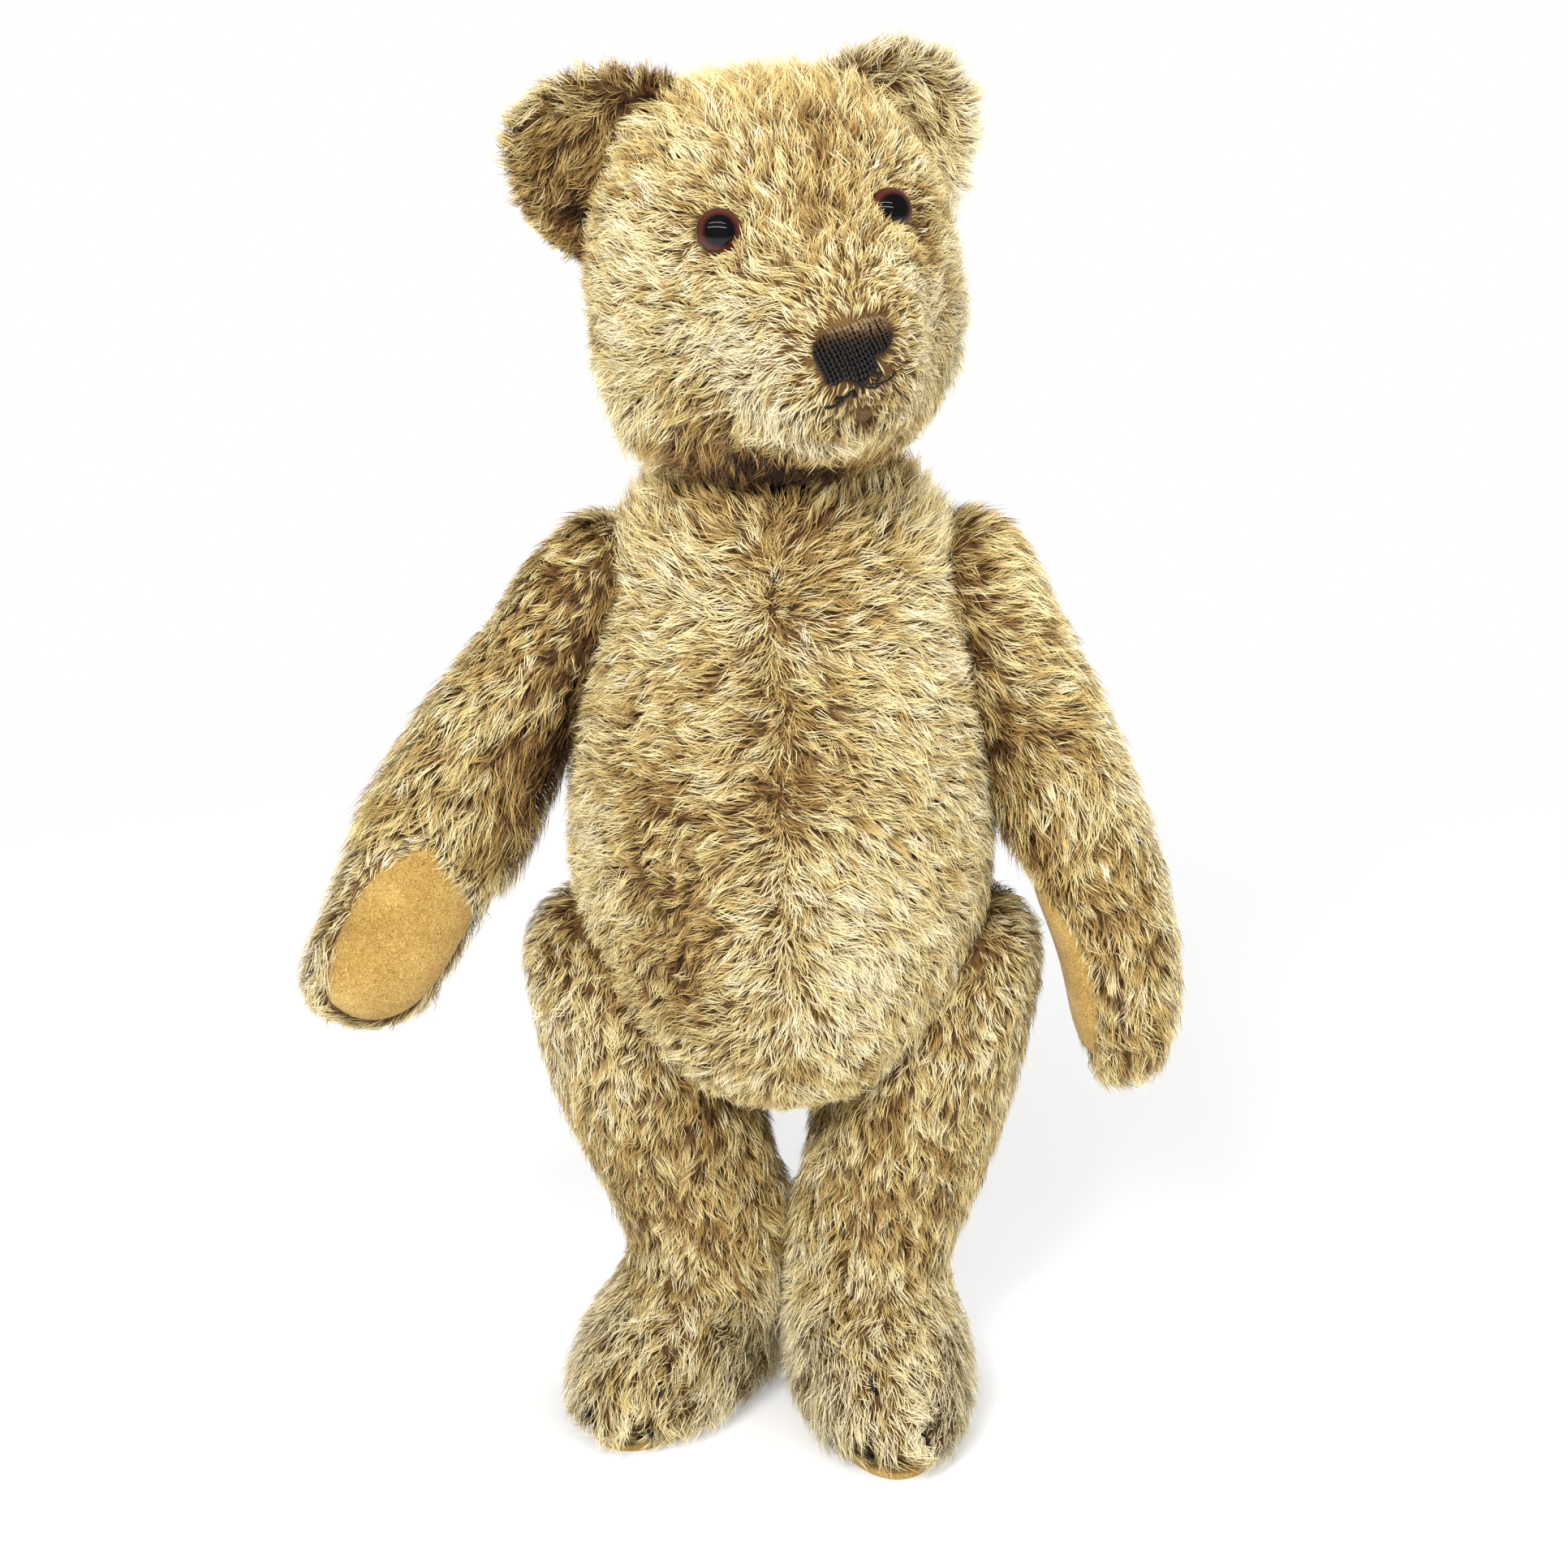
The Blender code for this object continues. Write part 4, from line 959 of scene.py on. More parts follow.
# %% Eye glass
EYE_MAP = "eye_face"
COAT_OF_GLASS = {"Coat_Weight": 1.0, "Coat_IOR": 1.33, "Coat_Roughness": 0.02}
eye_glass, shader = new_finish("painted_glass_eye", Roughness=0.5, Specular_IOR_Level=0.05, **COAT_OF_GLASS)
place = add_node(eye_glass, "ShaderNodeUVMap", {"uv_map": EYE_MAP}).outputs["UV"]
reach = add_node(eye_glass, "ShaderNodeVectorMath", {"operation": "DISTANCE", 1: (0.5, 0.5, 0)}, i0=place)
rays = add_node(eye_glass, "ShaderNodeTexNoise", {"Scale": 14.0, "Detail": 3.0}, Vector=place)
mixing = {"operation": "MULTIPLY_ADD", 1: 0.035}
wander = add_node(eye_glass, "ShaderNodeMath", mixing, i0=rays.outputs["Fac"], i2=reach.outputs["Value"])
# The pupil, the iris from its inner to its outer edge, and the dark rim, by distance from the middle.
IRIS = [
    (0.0, "#010101"), (0.32, "#020101"), (0.34, "#1C0A06"), (0.38, "#3A1810"), (0.44, "#4E2319"),
    (0.49, "#32130D"), (0.515, "#120604"),
]
ramp(eye_glass, wander.outputs["Value"], IRIS, shader)

# The way that each eye faces in the head. The left one is drawn deeper into the pile.
EYE_LEAN = {"left": Vector((0.06, -0.97, 0.2)), "right": Vector((-0.2, -0.95, 0.2))}
EYE_R_MM, EYE_DOME_MM, EYE_BACK_MM = 6.3, 4.6, 5.0
EYE_PROUD_MM = {"left": 0.4, "right": 2.0}
EYE_SHIFT_MM = {"left": Vector((-1.8, 2.4, 2.6)), "right": Vector((0, 1.0, 0.8))}
eyes, eye_spots = {}, {}
for side in SIGNS:
    out = HEAD_FRAME.to_3x3() @ EYE_LEAN[side].normalized()
    low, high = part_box(f"{side}_eye_glass")
    rim = (Vector(low) + Vector(high)) / 2 + HEAD_FRAME.to_3x3() @ EYE_SHIFT_MM[side] * MM
    eye = even_sphere(f"{side}_eye_dome", 48, 28)
    for point in eye.data.vertices:
        deep = EYE_DOME_MM if point.co.z > 0 else EYE_BACK_MM
        point.co = Vector((point.co.x * EYE_R_MM, point.co.y * EYE_R_MM, point.co.z * deep)) * MM
    face_map = eye.data.uv_layers.new(name=EYE_MAP)
    for loop in eye.data.loops:
        spot = eye.data.vertices[loop.vertex_index].co / (2 * EYE_R_MM * MM)
        face_map.data[loop.index].uv = (0.5 + spot.x, 0.5 + spot.y)
    across = out.cross(Vector((0, 0, 1))).normalized()
    matrix = Matrix((across, out.cross(across), out)).transposed().to_4x4()
    matrix.translation = rim + out * EYE_PROUD_MM[side] * MM
    eye.data.transform(matrix)
    eyes[side] = finished(eye, eye_glass)
    eye_spots[side] = head_mm(np.array([rim]))[0]
    print(side, "eye in the head's frame:", eye_spots[side].round(1))

# %% [markdown]
# ## Growing the pile
# Blender's own hair isn't a mesh, and this pile has to be one, so each hair is written as a thin bent
# ribbon of three triangles. Real pile is never even: neighbouring hairs cling into locks, and each lock
# leans its own way. So a hair first gets its own direction, and is then drawn towards the tip of its lock.


# %% Surface points and locks
def spots_on(form, per_mm2, rng):
    """Random points on a form's faces, even by area, and the surface's normal at each."""
    mesh = form.data
    mesh.calc_loop_triangles()
    corners = numbers(mesh.loop_triangles, "vertices", 3, np.int32)
    points, normals = (numbers(mesh.vertices, name)[corners] for name in ("co", "normal"))
    area = np.linalg.norm(np.cross(points[:, 1] - points[:, 0], points[:, 2] - points[:, 0]), axis=1) / 2
    total = area.sum()
    count = int(total * 1e6 * per_mm2)
    face = np.searchsorted(np.cumsum(area) / total, rng.random(count))
    face = np.minimum(face, len(area) - 1)
    first, second = rng.random((2, count))
    first = np.sqrt(first)
    shares = np.stack([1 - first, first * (1 - second), first * second], axis=1)[:, :, None]
    return (points[face] * shares).sum(axis=1), unit((normals[face] * shares).sum(axis=1))


def nearest(points, centres):
    """For each point, the index of the nearest centre."""
    tree = KDTree(len(centres))
    for i, centre in enumerate(centres):
        tree.insert(centre, i)
    tree.balance()
    return np.array([tree.find(point)[1] for point in points])


def turned(vectors, axes, angles):
    """Each vector turned about its own axis."""
    c, s = np.cos(angles)[:, None], np.sin(angles)[:, None]
    return vectors * c + np.cross(axes, vectors) * s + axes * (vectors * axes).sum(1)[:, None] * (1 - c)


# %% The coat's state
# A coat says, for each hair: the share left by wear, its length, how far it stands up in degrees, how wild
# its lie is, how far it clings to its lock, and its tone from soot (0) to straw (1).
COAT = {"left": 1.0, "long": 1.0, "stand": 38.0, "wild": 0.42, "cling": 0.74, "tone": 0.64}


def new_coat(count, **values):
    return {key: np.full(count, values.get(key, value)) for key, value in COAT.items()}


def worn(coat, places, patches):
    """Soft round patches of wear: (centre, radius, what it adds to each state)."""
    for centre, radius, changes in patches:
        centre = np.array(centre, float)
        share = np.exp(-(((places[:, : len(centre)] - centre) / radius) ** 2).sum(axis=1))
        for key, change in changes.items():
            coat[key] = coat[key] + change * share
    return coat


# %% A pile piece
HAIR_WIDTH_MM = 0.31  # a few real hairs together, the least that shows
ROOT_SINK_MM = 0.4
LOCK_HAIRS = 8
# How far a hair strays from its neighbours: across the cloth, about itself, and, in degrees, up from it.
LIE_SPREAD, ROLL_SPREAD = np.radians(12), np.radians(40)
RISE_DRIFT, RISE_SPREAD = 15, 9
CURL_DRIFT, CURL_SPREAD = 0.22, 0.09  # shares of its length
TONE_DRIFT, HAIR_TONE_SPREAD, LOCK_TONE_SPREAD = 0.10, 0.05, 0.16


def grow_pile(name, form, comb, coat_of, seed, per_mm2=1.35, length_mm=9.0):
    """Ribbon hairs over a form: comb gives the lie of the pile and coat_of its state."""
    rng = np.random.default_rng(seed)
    root, normal = spots_on(form, per_mm2, rng)
    keep = rng.random(len(root)) < coat_of(root, normal)["left"]
    root, normal = root[keep], normal[keep]
    coat = coat_of(root, normal)
    count = len(root)
    wild = coat["wild"][:, None]
    lie = unit(comb(root, normal)) + wild * (drift(root, 10) + 0.7 * drift(root, 4))
    lie = unit(lie - (lie * normal).sum(1)[:, None] * normal)
    length = length_mm * MM * coat["long"] * (0.7 + 0.6 * rng.random(count))
    stray = RISE_DRIFT * drift(root, 6)[:, 0] + RISE_SPREAD * rng.standard_normal(count)
    rise = np.radians(coat["stand"] + stray)
    lie = turned(lie, normal, LIE_SPREAD * rng.standard_normal(count))
    start = lie * np.cos(rise)[:, None] + normal * np.sin(rise)[:, None]
    low = rise * 0.3
    end = lie * np.cos(low)[:, None] + normal * np.sin(low)[:, None]
    base = root - normal * ROOT_SINK_MM * MM
    middle = base + start * (0.5 * length)[:, None]
    tip = middle + end * (0.5 * length)[:, None]
    aside = np.cross(normal, lie)
    curl = CURL_SPREAD * rng.standard_normal(count) + CURL_DRIFT * drift(root, 3.5)[:, 1]
    curl = curl * coat["long"] * length_mm * MM
    middle = middle + aside * curl[:, None]
    tip = tip - aside * 0.8 * curl[:, None]
    leaders = rng.choice(count, max(1, count // LOCK_HAIRS), replace=False)
    mine = leaders[nearest(root, root[leaders])]
    pull = (coat["cling"] * (0.5 + 0.5 * rng.random(count)))[:, None]
    middle = middle + (middle[mine] - middle) * pull * 0.4
    tip = tip + (tip[mine] - tip) * pull
    for part, least_mm in ((middle, 0.4), (tip, 0.3), (base, 0.3)):  # no hair goes through the floor
        part[:, 2] = np.maximum(part[:, 2], least_mm * MM)
    side = unit(np.cross(tip - base, normal))
    side = turned(side, unit(tip - base), ROLL_SPREAD * rng.standard_normal(count))
    face_normal = unit(np.cross(side, tip - base))
    flip = np.where((face_normal * normal).sum(1) < 0, -1.0, 1.0)[:, None]
    side, face_normal = side * flip, face_normal * flip
    half = side * (HAIR_WIDTH_MM * MM / 2) * (0.75 + 0.5 * rng.random(count))[:, None]
    points = np.stack([base - half, base + half, middle - half * 0.85, middle + half * 0.85, tip], axis=1)
    points[:, :, 2] = np.maximum(points[:, :, 2], 0.2 * MM)
    own, shared = HAIR_TONE_SPREAD * rng.standard_normal(count), LOCK_TONE_SPREAD * rng.standard_normal(count)
    broad, narrow = TONE_DRIFT * drift(root, 26)[:, 1], TONE_DRIFT * drift(root, 9)[:, 2]
    shade = coat["tone"] + broad + narrow + own + shared[mine]
    return ribbons(name, points, np.clip(shade, 0.012, 0.988), unit(0.45 * normal + 0.55 * face_normal))


def ribbons(name, points, shade, facing):
    """Writes the hairs as a mesh: a four-sided root half and a three-sided tip each."""
    count = len(points)
    mesh = bpy.data.meshes.new(name)
    mesh.vertices.add(count * 5)
    mesh.vertices.foreach_set("co", points.astype(np.float32).ravel())
    corners = np.arange(count)[:, None] * 5 + np.array([0, 1, 3, 2, 2, 3, 4])
    mesh.loops.add(count * 7)
    mesh.loops.foreach_set("vertex_index", corners.astype(np.int32).ravel())
    mesh.polygons.add(count * 2)
    starts = np.arange(count)[:, None] * 7 + np.array([0, 4])
    mesh.polygons.foreach_set("loop_start", starts.astype(np.int32).ravel())
    mesh.update(calc_edges=True)
    mesh.polygons.foreach_set("use_smooth", np.ones(count * 2, bool))
    hair_map = mesh.uv_layers.new(name=HAIR_MAP)
    across = np.array([-1, 1, 1, -1, -1, 1, 0]) * 0.004
    upward = np.array([0.01, 0.01, 0.5, 0.5, 0.5, 0.5, 0.99])
    places = np.empty((count, 7, 2), np.float32)
    places[:, :, 0] = shade[:, None] + across
    places[:, :, 1] = upward
    hair_map.data.foreach_set("uv", places.ravel())
    mesh.normals_split_custom_set_from_vertices(np.repeat(facing, 5, axis=0))
    piece = bpy.data.objects.new(name, mesh)
    bpy.context.scene.collection.objects.link(piece)
    mesh.materials.append(mohair_pile)
    print(f"{name}: {count} hairs, {count * 3} triangles")
    return piece


def change(coat, **steps):
    """Adds to a coat's states."""
    for key, step in steps.items():
        coat[key] = coat[key] + step


def scale(coat, key, share):
    coat[key] = coat[key] * share


def clear(coat, where):
    """No pile there."""
    coat["left"] = np.where(where, 0.0, coat["left"])


def airy_with_painted_glow(coat, normals, painted_glow):
    """Pile on the outer sides is loose, and is painted paler there, as light that shines through it from
    behind.
    """
    outer = fade(np.abs(normals[:, 0]), 0.5, 0.95)
    change(coat, tone=painted_glow * outer, cling=-0.25 * outer, stand=8 * outer)


def fade(values, start, end):
    """0 at start, 1 at end, smooth between."""
    share = np.clip((values - start) / (end - start), 0, 1)
    return share * share * (3 - 2 * share)


def around_pin(points, joint, axis):
    """Distance in mm from a joint's axis, and along it from the pin."""
    axis = np.array(axis, float)
    axis /= np.linalg.norm(axis)
    local = (points - np.array(PINS[joint])) / MM
    along = local @ axis
    return np.linalg.norm(local - along[:, None] * axis, axis=1), along


def joint_axis(joint):
    """A joint's axis, out of the torso for a limb and up for the neck."""
    if joint == "neck":
        return np.array(HEAD_FRAME)[:3, 2]
    side = joint.split("_")[0]
    if joint.endswith("shoulder"):
        return np.array(arm_axes(side)[0])
    tilt = math.radians(-24)
    return np.array([SIGNS[side] * math.cos(tilt), 0, math.sin(tilt)])


# Under each joint's disc the cloths are pressed together and the pile is cut away.
BARE_MM = {"neck": 24, "left_shoulder": 15, "right_shoulder": 15, "left_hip": 18, "right_hip": 18}


def bare_at(coat, points, joint, outer):
    """No pile where the joint's two cloths meet. outer is True on the limb's side."""
    radius, along = around_pin(points, joint, joint_axis(joint))
    facing = along < 12 if outer else along > -15
    clear(coat, (radius < BARE_MM[joint]) & facing)


# %% [markdown]
# ## Combing the torso
# On the real bear the pile parts along the front seam, and lies outwards and down from it on both sides.
# Low on the bear's right it has matted and browned, and on its left it is long and pale.


# %% Torso pile
def seam_x(z):
    """The seam wanders from one side of the middle to the other on its way down."""
    return np.interp(z, [105, 275], [2.2, -2.7]) + 0.9 * np.sin(z / 7) + 0.6 * np.sin(z / 3.1)


# Degrees below level at which the pile leaves the seam, by height.
FALL_HEIGHTS_MM = [105, 115, 130, 150, 170, 200, 240, 262, 274, 290]
FALL = {
    "left": [80, 70, 62, 55, 47, 35, 22, 12, -25, -60],
    "right": [85, 72, 50, 35, 25, 18, 14, 10, -30, -62],
}


def comb_torso(points, normals):
    x, y, z = bear_mm(points).T
    from_seam = x - seam_x(z) + 1.5 * drift(points, 1.3)[:, 0]
    left = np.interp(z, FALL_HEIGHTS_MM, FALL["left"])
    right = np.interp(z, FALL_HEIGHTS_MM, FALL["right"])
    fall = np.where(from_seam > 0, left, right) + 14 * fade(np.abs(from_seam), 15, 55)
    back = fade(y, -5, 25)
    fall = np.radians(fall + (78 - fall) * back)
    level = np.cross([0.0, 0.0, 1.0], normals) * np.where(from_seam > 0, 1, -1)[:, None]
    level = unit(level) * np.tanh(np.abs(from_seam) / 3.5)[:, None]
    return level * np.cos(fall)[:, None] - np.array([[0, 0, 1.0]]) * np.sin(fall)[:, None]


TORSO_WEAR_AND_SHADE = [
    ((-25, -52, 156), 15, {"tone": -0.26, "long": -0.3, "wild": 0.5}),
    ((-28, -50, 174), 13, {"tone": -0.12, "long": -0.1}),
    ((-38, -41, 215), 16, {"tone": -0.18, "long": -0.15, "wild": 0.3}),
    ((-22, -42, 252), 12, {"tone": -0.14, "wild": 0.2}),
    ((-33, -48, 188), 18, {"tone": -0.22, "long": -0.25, "wild": 0.5}),
    ((-20, -50, 140), 12, {"tone": -0.06, "wild": 0.3}),
    ((4, -53, 214), 11, {"tone": -0.16, "wild": 0.4}),
    ((-2, -37, 274), 7, {"tone": -0.10}),
    ((26, -54, 174), 24, {"tone": 0.2, "long": 0.2, "wild": -0.2}),
    ((12, -52, 145), 16, {"tone": 0.12}),
    ((40, -36, 245), 26, {"tone": 0.16, "long": 0.1}),
    ((-28, -38, 258), 14, {"tone": 0.06}),
    ((0, 45, 200), 26, {"tone": -0.06, "long": -0.2}),
    # Painted shade on the top of the torso, under the chin.
    ((6, -34, 290), 13, {"tone": -0.32}),
    ((-16, -28, 293), 11, {"tone": -0.24}),
]


def torso_coat(points, normals):
    places = bear_mm(points)
    x, _, z = places.T
    coat = new_coat(len(points), tone=0.70)
    airy_with_painted_glow(coat, normals, 0.08)
    worn(coat, places, TORSO_WEAR_AND_SHADE)
    near_seam = np.exp(-(((x - seam_x(z)) / 3.5) ** 2))
    change(coat, tone=-0.05 * near_seam, stand=22 * near_seam, cling=-0.55 * near_seam)
    whorl = np.exp(-(((x - seam_x(z)) / 7) ** 2) - ((z - 266) / 8) ** 2)
    scale(coat, "cling", 1 - 0.9 * whorl)
    scale(coat, "long", 1 - 0.15 * near_seam)
    outer = fade(-x, 35, 60)
    change(coat, stand=24 * whorl + 10 * outer, wild=0.8 * whorl, long=0.18 * outer * fade(z, 160, 190))
    corner = fade(z, 262, 278) * fade(np.abs(x), 16, 34)
    collar = fade(z, 287, 295)  # it stands in the gap under the head, where little light comes
    # Painted shade: the collar's tone is darkened in the gap under the head.
    change(coat, long=0.5 * corner - 0.25 * (1 - fade(z, 104, 118)), tone=-0.14 * collar)
    change(coat, stand=28 * corner + 12 * fade(z, 262, 285) + 22 * collar)
    for joint in BARE_MM:
        bare_at(coat, points, joint, outer=False)
    return coat


def under_coat(points, normals):
    """Short fibres that stand in the parting and close it."""
    x, y, z = bear_mm(points).T
    coat = new_coat(len(points), tone=0.5, stand=72, wild=1.0, cling=0.2, long=0.52)
    scale(coat, "long", 0.8 + 0.4 * fade(z, 240, 262))
    from_ends = fade(z, 104, 112) * (1 - fade(z, 284, 292))
    coat["left"] = np.exp(-(((x - seam_x(z)) / 2.6) ** 2)) * (y < 0) * from_ends
    return coat


def half_of(coat_of, sign):
    """The same coat, kept on one side of the seam only."""

    def coat(points, normals):
        state = coat_of(points, normals)
        x, _, z = bear_mm(points).T
        state["left"] = np.where((x - seam_x(z)) * sign >= 0, state["left"], 0.0)
        return state

    return coat


pieces = []
for side, sign in SIGNS.items():
    half_coat = half_of(torso_coat, sign)
    pile = grow_pile(f"torso_{side}_pile", torso, comb_torso, half_coat, seed=20 + sign, per_mm2=1.42)
    pieces.append((pile, "torso"))
pile = grow_pile("torso_seam_pile", torso, comb_torso, under_coat, seed=25, per_mm2=4.0)
pieces.append((pile, "torso"))

# %% [markdown]
# ## Combing the head
# The pile runs back from the nose on every side: over the cheeks, up the forehead, where it stands, and
# down the jowls, where it hangs over the neck. It is trimmed at the eyes and gone beside the nose.

# %% Head pile
NOSE_TIP_MM = np.array([1.0, -84.0, 45.0])


def to_world(vectors):
    return vectors @ np.array(HEAD_FRAME)[:3, :3].T


def comb_head(points, normals):
    local = head_mm(points)
    away = unit(local - NOSE_TIP_MM)
    x, _, z = local.T
    away[:, 2] += 0.35 * fade(z, 70, 100) - 0.12 - 0.9 * (1 - fade(z, 8, 38))
    away[:, 0] += 0.25 * np.sign(x) * fade(np.abs(x), 10, 30) * fade(z, 55, 75)
    return to_world(away)


HEAD_WEAR_AND_PAINTED_LIGHT = [
    ((2.7, -75, 24.0), 2.7, {"left": -1.5}),
    ((2.7, -77, 27.0), 6.0, {"tone": -0.28, "long": -0.62}),
    ((-2.7, -80, 31.5), 3.0, {"left": -1.0, "tone": -0.3, "long": -0.4}),
    ((8.0, -80, 36.5), 3.0, {"left": -0.4, "tone": -0.38, "long": -0.7}),
    ((12.0, -76, 41), 2.4, {"tone": -0.3, "long": -0.35}),
    ((-12.5, -74, 37), 3.0, {"tone": -0.22}),
    ((0, -58, 72), 16, {"tone": -0.26, "wild": 0.25}),
    ((0, -30, 90), 24, {"tone": -0.12}),
    ((-30, -38, 84), 8, {"tone": -0.20}),
    ((-38, -20, 50), 26, {"tone": 0.10}),
    ((-24, -62, 42), 14, {"tone": 0.2}),
    ((24, -60, 42), 12, {"tone": 0.22}),
    ((-2, -68, 15), 10, {"tone": 0.26, "long": 0.3}),
    ((-14, -66, 22), 10, {"tone": 0.14, "long": 0.2}),
    # Painted shade under the jowls and the chin.
    ((-24, -38, 5), 19, {"tone": -0.45}),
    ((-34, -29, 13), 10, {"tone": -0.22}),
    ((-2, -42, 2), 19, {"tone": -0.5}),
    ((0, 10, 104), 26, {"tone": 0.08, "stand": 14}),
    ((0, -68, 56), 8, {"tone": 0.04}),
    ((-44, -14, 12), 26, {"long": 0.65, "stand": 24}),
    ((44, -14, 8), 20, {"long": 0.1, "stand": 8}),
    # Painted light: the far cheek, which faces away from the key lamp, is made paler.
    ((46, -22, 42), 20, {"long": 0.3, "stand": 22, "tone": 0.44}),
    # Painted shade in the crease between the muzzle and the far cheek.
    ((31, -43, 60), 4.5, {"tone": -0.34, "long": -0.3}),
    ((35, -39, 53), 4.5, {"tone": -0.4, "long": -0.4}),
    ((38, -36, 45), 4.5, {"tone": -0.44, "long": -0.4}),
    ((39, -35, 37), 4.5, {"tone": -0.4, "long": -0.4}),
    ((37, -37, 29), 6, {"tone": -0.36, "long": -0.4}),
    # Painted shade under the chin, over the neck.
    ((0, -34, -2), 22, {"tone": -0.2, "long": 0.1}),
]


# How near an eye's middle the pile comes, on the side of the nose and elsewhere.
EYE_BARE_NOSE_MM = {"left": 2.8, "right": 3.8}
EYE_BARE_MM = 5.2


def head_coat(points, normals):
    places = head_mm(points)
    x, y, z = places.T
    coat = new_coat(len(points), tone=0.70, stand=36, cling=0.66, wild=0.48)
    worn(coat, places, HEAD_WEAR_AND_PAINTED_LIGHT)
    for side, spot in eye_spots.items():
        gap = np.linalg.norm(places - spot, axis=1)
        inner = (x - spot[0]) * np.sign(spot[0]) < -2.5
        clear(coat, gap < np.where(inner, EYE_BARE_NOSE_MM[side], EYE_BARE_MM))
        trimmed = 1 - fade(gap, 6, 17)
        scale(coat, "long", 1 - 0.5 * trimmed + 0.3 * inner * trimmed)
        change(coat, stand=-8 * (1 - fade(gap, 6, 14)), tone=-0.10 * (1 - fade(gap, 6, 10)))
    middle = nose_loop.mean(axis=0)
    clear(coat, inside(middle + (nose_loop - middle) * 0.88, x, z) & (y < -55))
    scale(coat, "long", 0.55 + 0.45 * fade(np.linalg.norm(places - NOSE_TIP_MM, axis=1), 10, 34))
    crown = fade(z, 84, 100)
    change(coat, stand=36 * crown, long=0.6 * crown)
    # The muzzle's front is paler, partly its own colour and partly painted light that sets it off from the
    # cheeks; the top of the crown is a little darker.
    change(coat, tone=0.08 * fade(-y, 46, 60) * fade(z, 8, 20) - 0.07 * fade(z, 92, 104))
    bare_at(coat, points, "neck", outer=True)
    return coat


pile = grow_pile("head_pile", head, comb_head, head_coat, seed=31, per_mm2=1.66, length_mm=8.8)
pieces.append((pile, "head"))


# %% Ear pile
EAR_ROUND_MM = (28, 34)  # half the ear's width and height, with its pile
EAR_TONE = {1: 0.63, -1: 0.31}  # the right ear has browned inside


def ear_places(points, sign):
    """Depth, the two ways across the ear, and how near its rim, as a share."""
    x, y, z = local_mm(ear_frame(sign), points).T
    return y, x / EAR_ROUND_MM[0], z / EAR_ROUND_MM[1], np.hypot(x / EAR_ROUND_MM[0], z / EAR_ROUND_MM[1])


def comb_ear(sign):
    turn = np.array(ear_frame(sign))[:3, :3]

    def comb(points, normals):
        y, wide, high, out = ear_places(points, sign)
        rim = fade(out, 0.72, 0.95)
        front = (y < 6).astype(float)
        outward = np.stack([wide, np.zeros(len(y)), high + 0.25], axis=1) @ turn.T
        down = to_world(np.tile([sign * 0.55, -0.25, -0.85], (len(y), 1)))
        spread = 0.25 + 0.9 * np.maximum(rim, 1 - front)
        return outward * spread[:, None] + down * (0.9 * front * (1 - rim))[:, None]

    return comb


def ear_coat(sign):
    def coat_of(points, normals):
        y, wide, _, out = ear_places(points, sign)
        rim = fade(out, 0.6, 0.98)
        tone = EAR_TONE[sign] + 0.31 * rim + 0.18 * fade(y, 7, 12)
        coat = new_coat(len(points), wild=0.5, cling=0.78, tone=tone, long=1 + 0.05 * rim, stand=34 + 8 * rim)
        if sign < 0:
            change(coat, long=-0.5 * fade(-wide * EAR_ROUND_MM[0], 6, 20) * rim)
        skull = [head_tree.find_nearest(Vector(point))[:2] for point in points]
        depth = np.array([(Vector(point) - spot).dot(normal) for point, (spot, normal) in zip(points, skull)])
        clear(coat, depth < 0.5 * MM)
        # Painted shade: the pile is darker near the head, where the ear meets it.
        change(coat, tone=-0.16 * (1 - fade(depth / MM, 2, 12)))
        return worn(coat, head_mm(points), [((sign * 26, -6, 100), 9, {"tone": -0.2})])

    return coat_of


for side, sign in SIGNS.items():
    coat_of = ear_coat(sign)
    pile = grow_pile(f"{side}_ear_pile", ears[side], comb_ear(sign), coat_of, seed=36 + sign, per_mm2=2.0)
    pieces.append((pile, "head"))

# %% [markdown]
# ## Combing the limbs
# The right arm's upper half is short, matted and curled, and pale locks hang from its lower half. The left
# arm's pile is long and silky and lies outwards over its shoulder. The shins are combed down, and on the
# feet the pile runs out to the toes.


# %% Arm pile
def comb_arm(side):
    out, down, _ = (np.array(axis) for axis in arm_axes(side))

    def comb(points, normals):
        along = arm_mm(side, points)[0]
        if side == "left":
            low = fade(along, 25, 60)
            return down * (0.55 + 0.45 * low)[:, None] + out * (1.35 - 1.15 * low)[:, None]
        return down + out * (0.35 + 0.1 * fade(along, 40, 80))[:, None]

    return comb


ARM_WEAR = {
    "left": [
        ((36, 0), (12, 40), {"tone": -0.16, "long": -0.1}),
        ((15, -18), (30, 14), {"tone": -0.12}),
        ((120, 6), (24, 10), {"tone": -0.10, "left": -0.25}),
    ],
    "right": [
        ((10, 0), (30, 60), {"tone": -0.04, "wild": 0.45, "long": -0.25}),
        ((45, -12), (22, 10), {"tone": -0.12}),
        ((75, 12), (18, 10), {"tone": -0.08, "wild": 0.2}),
    ],
}


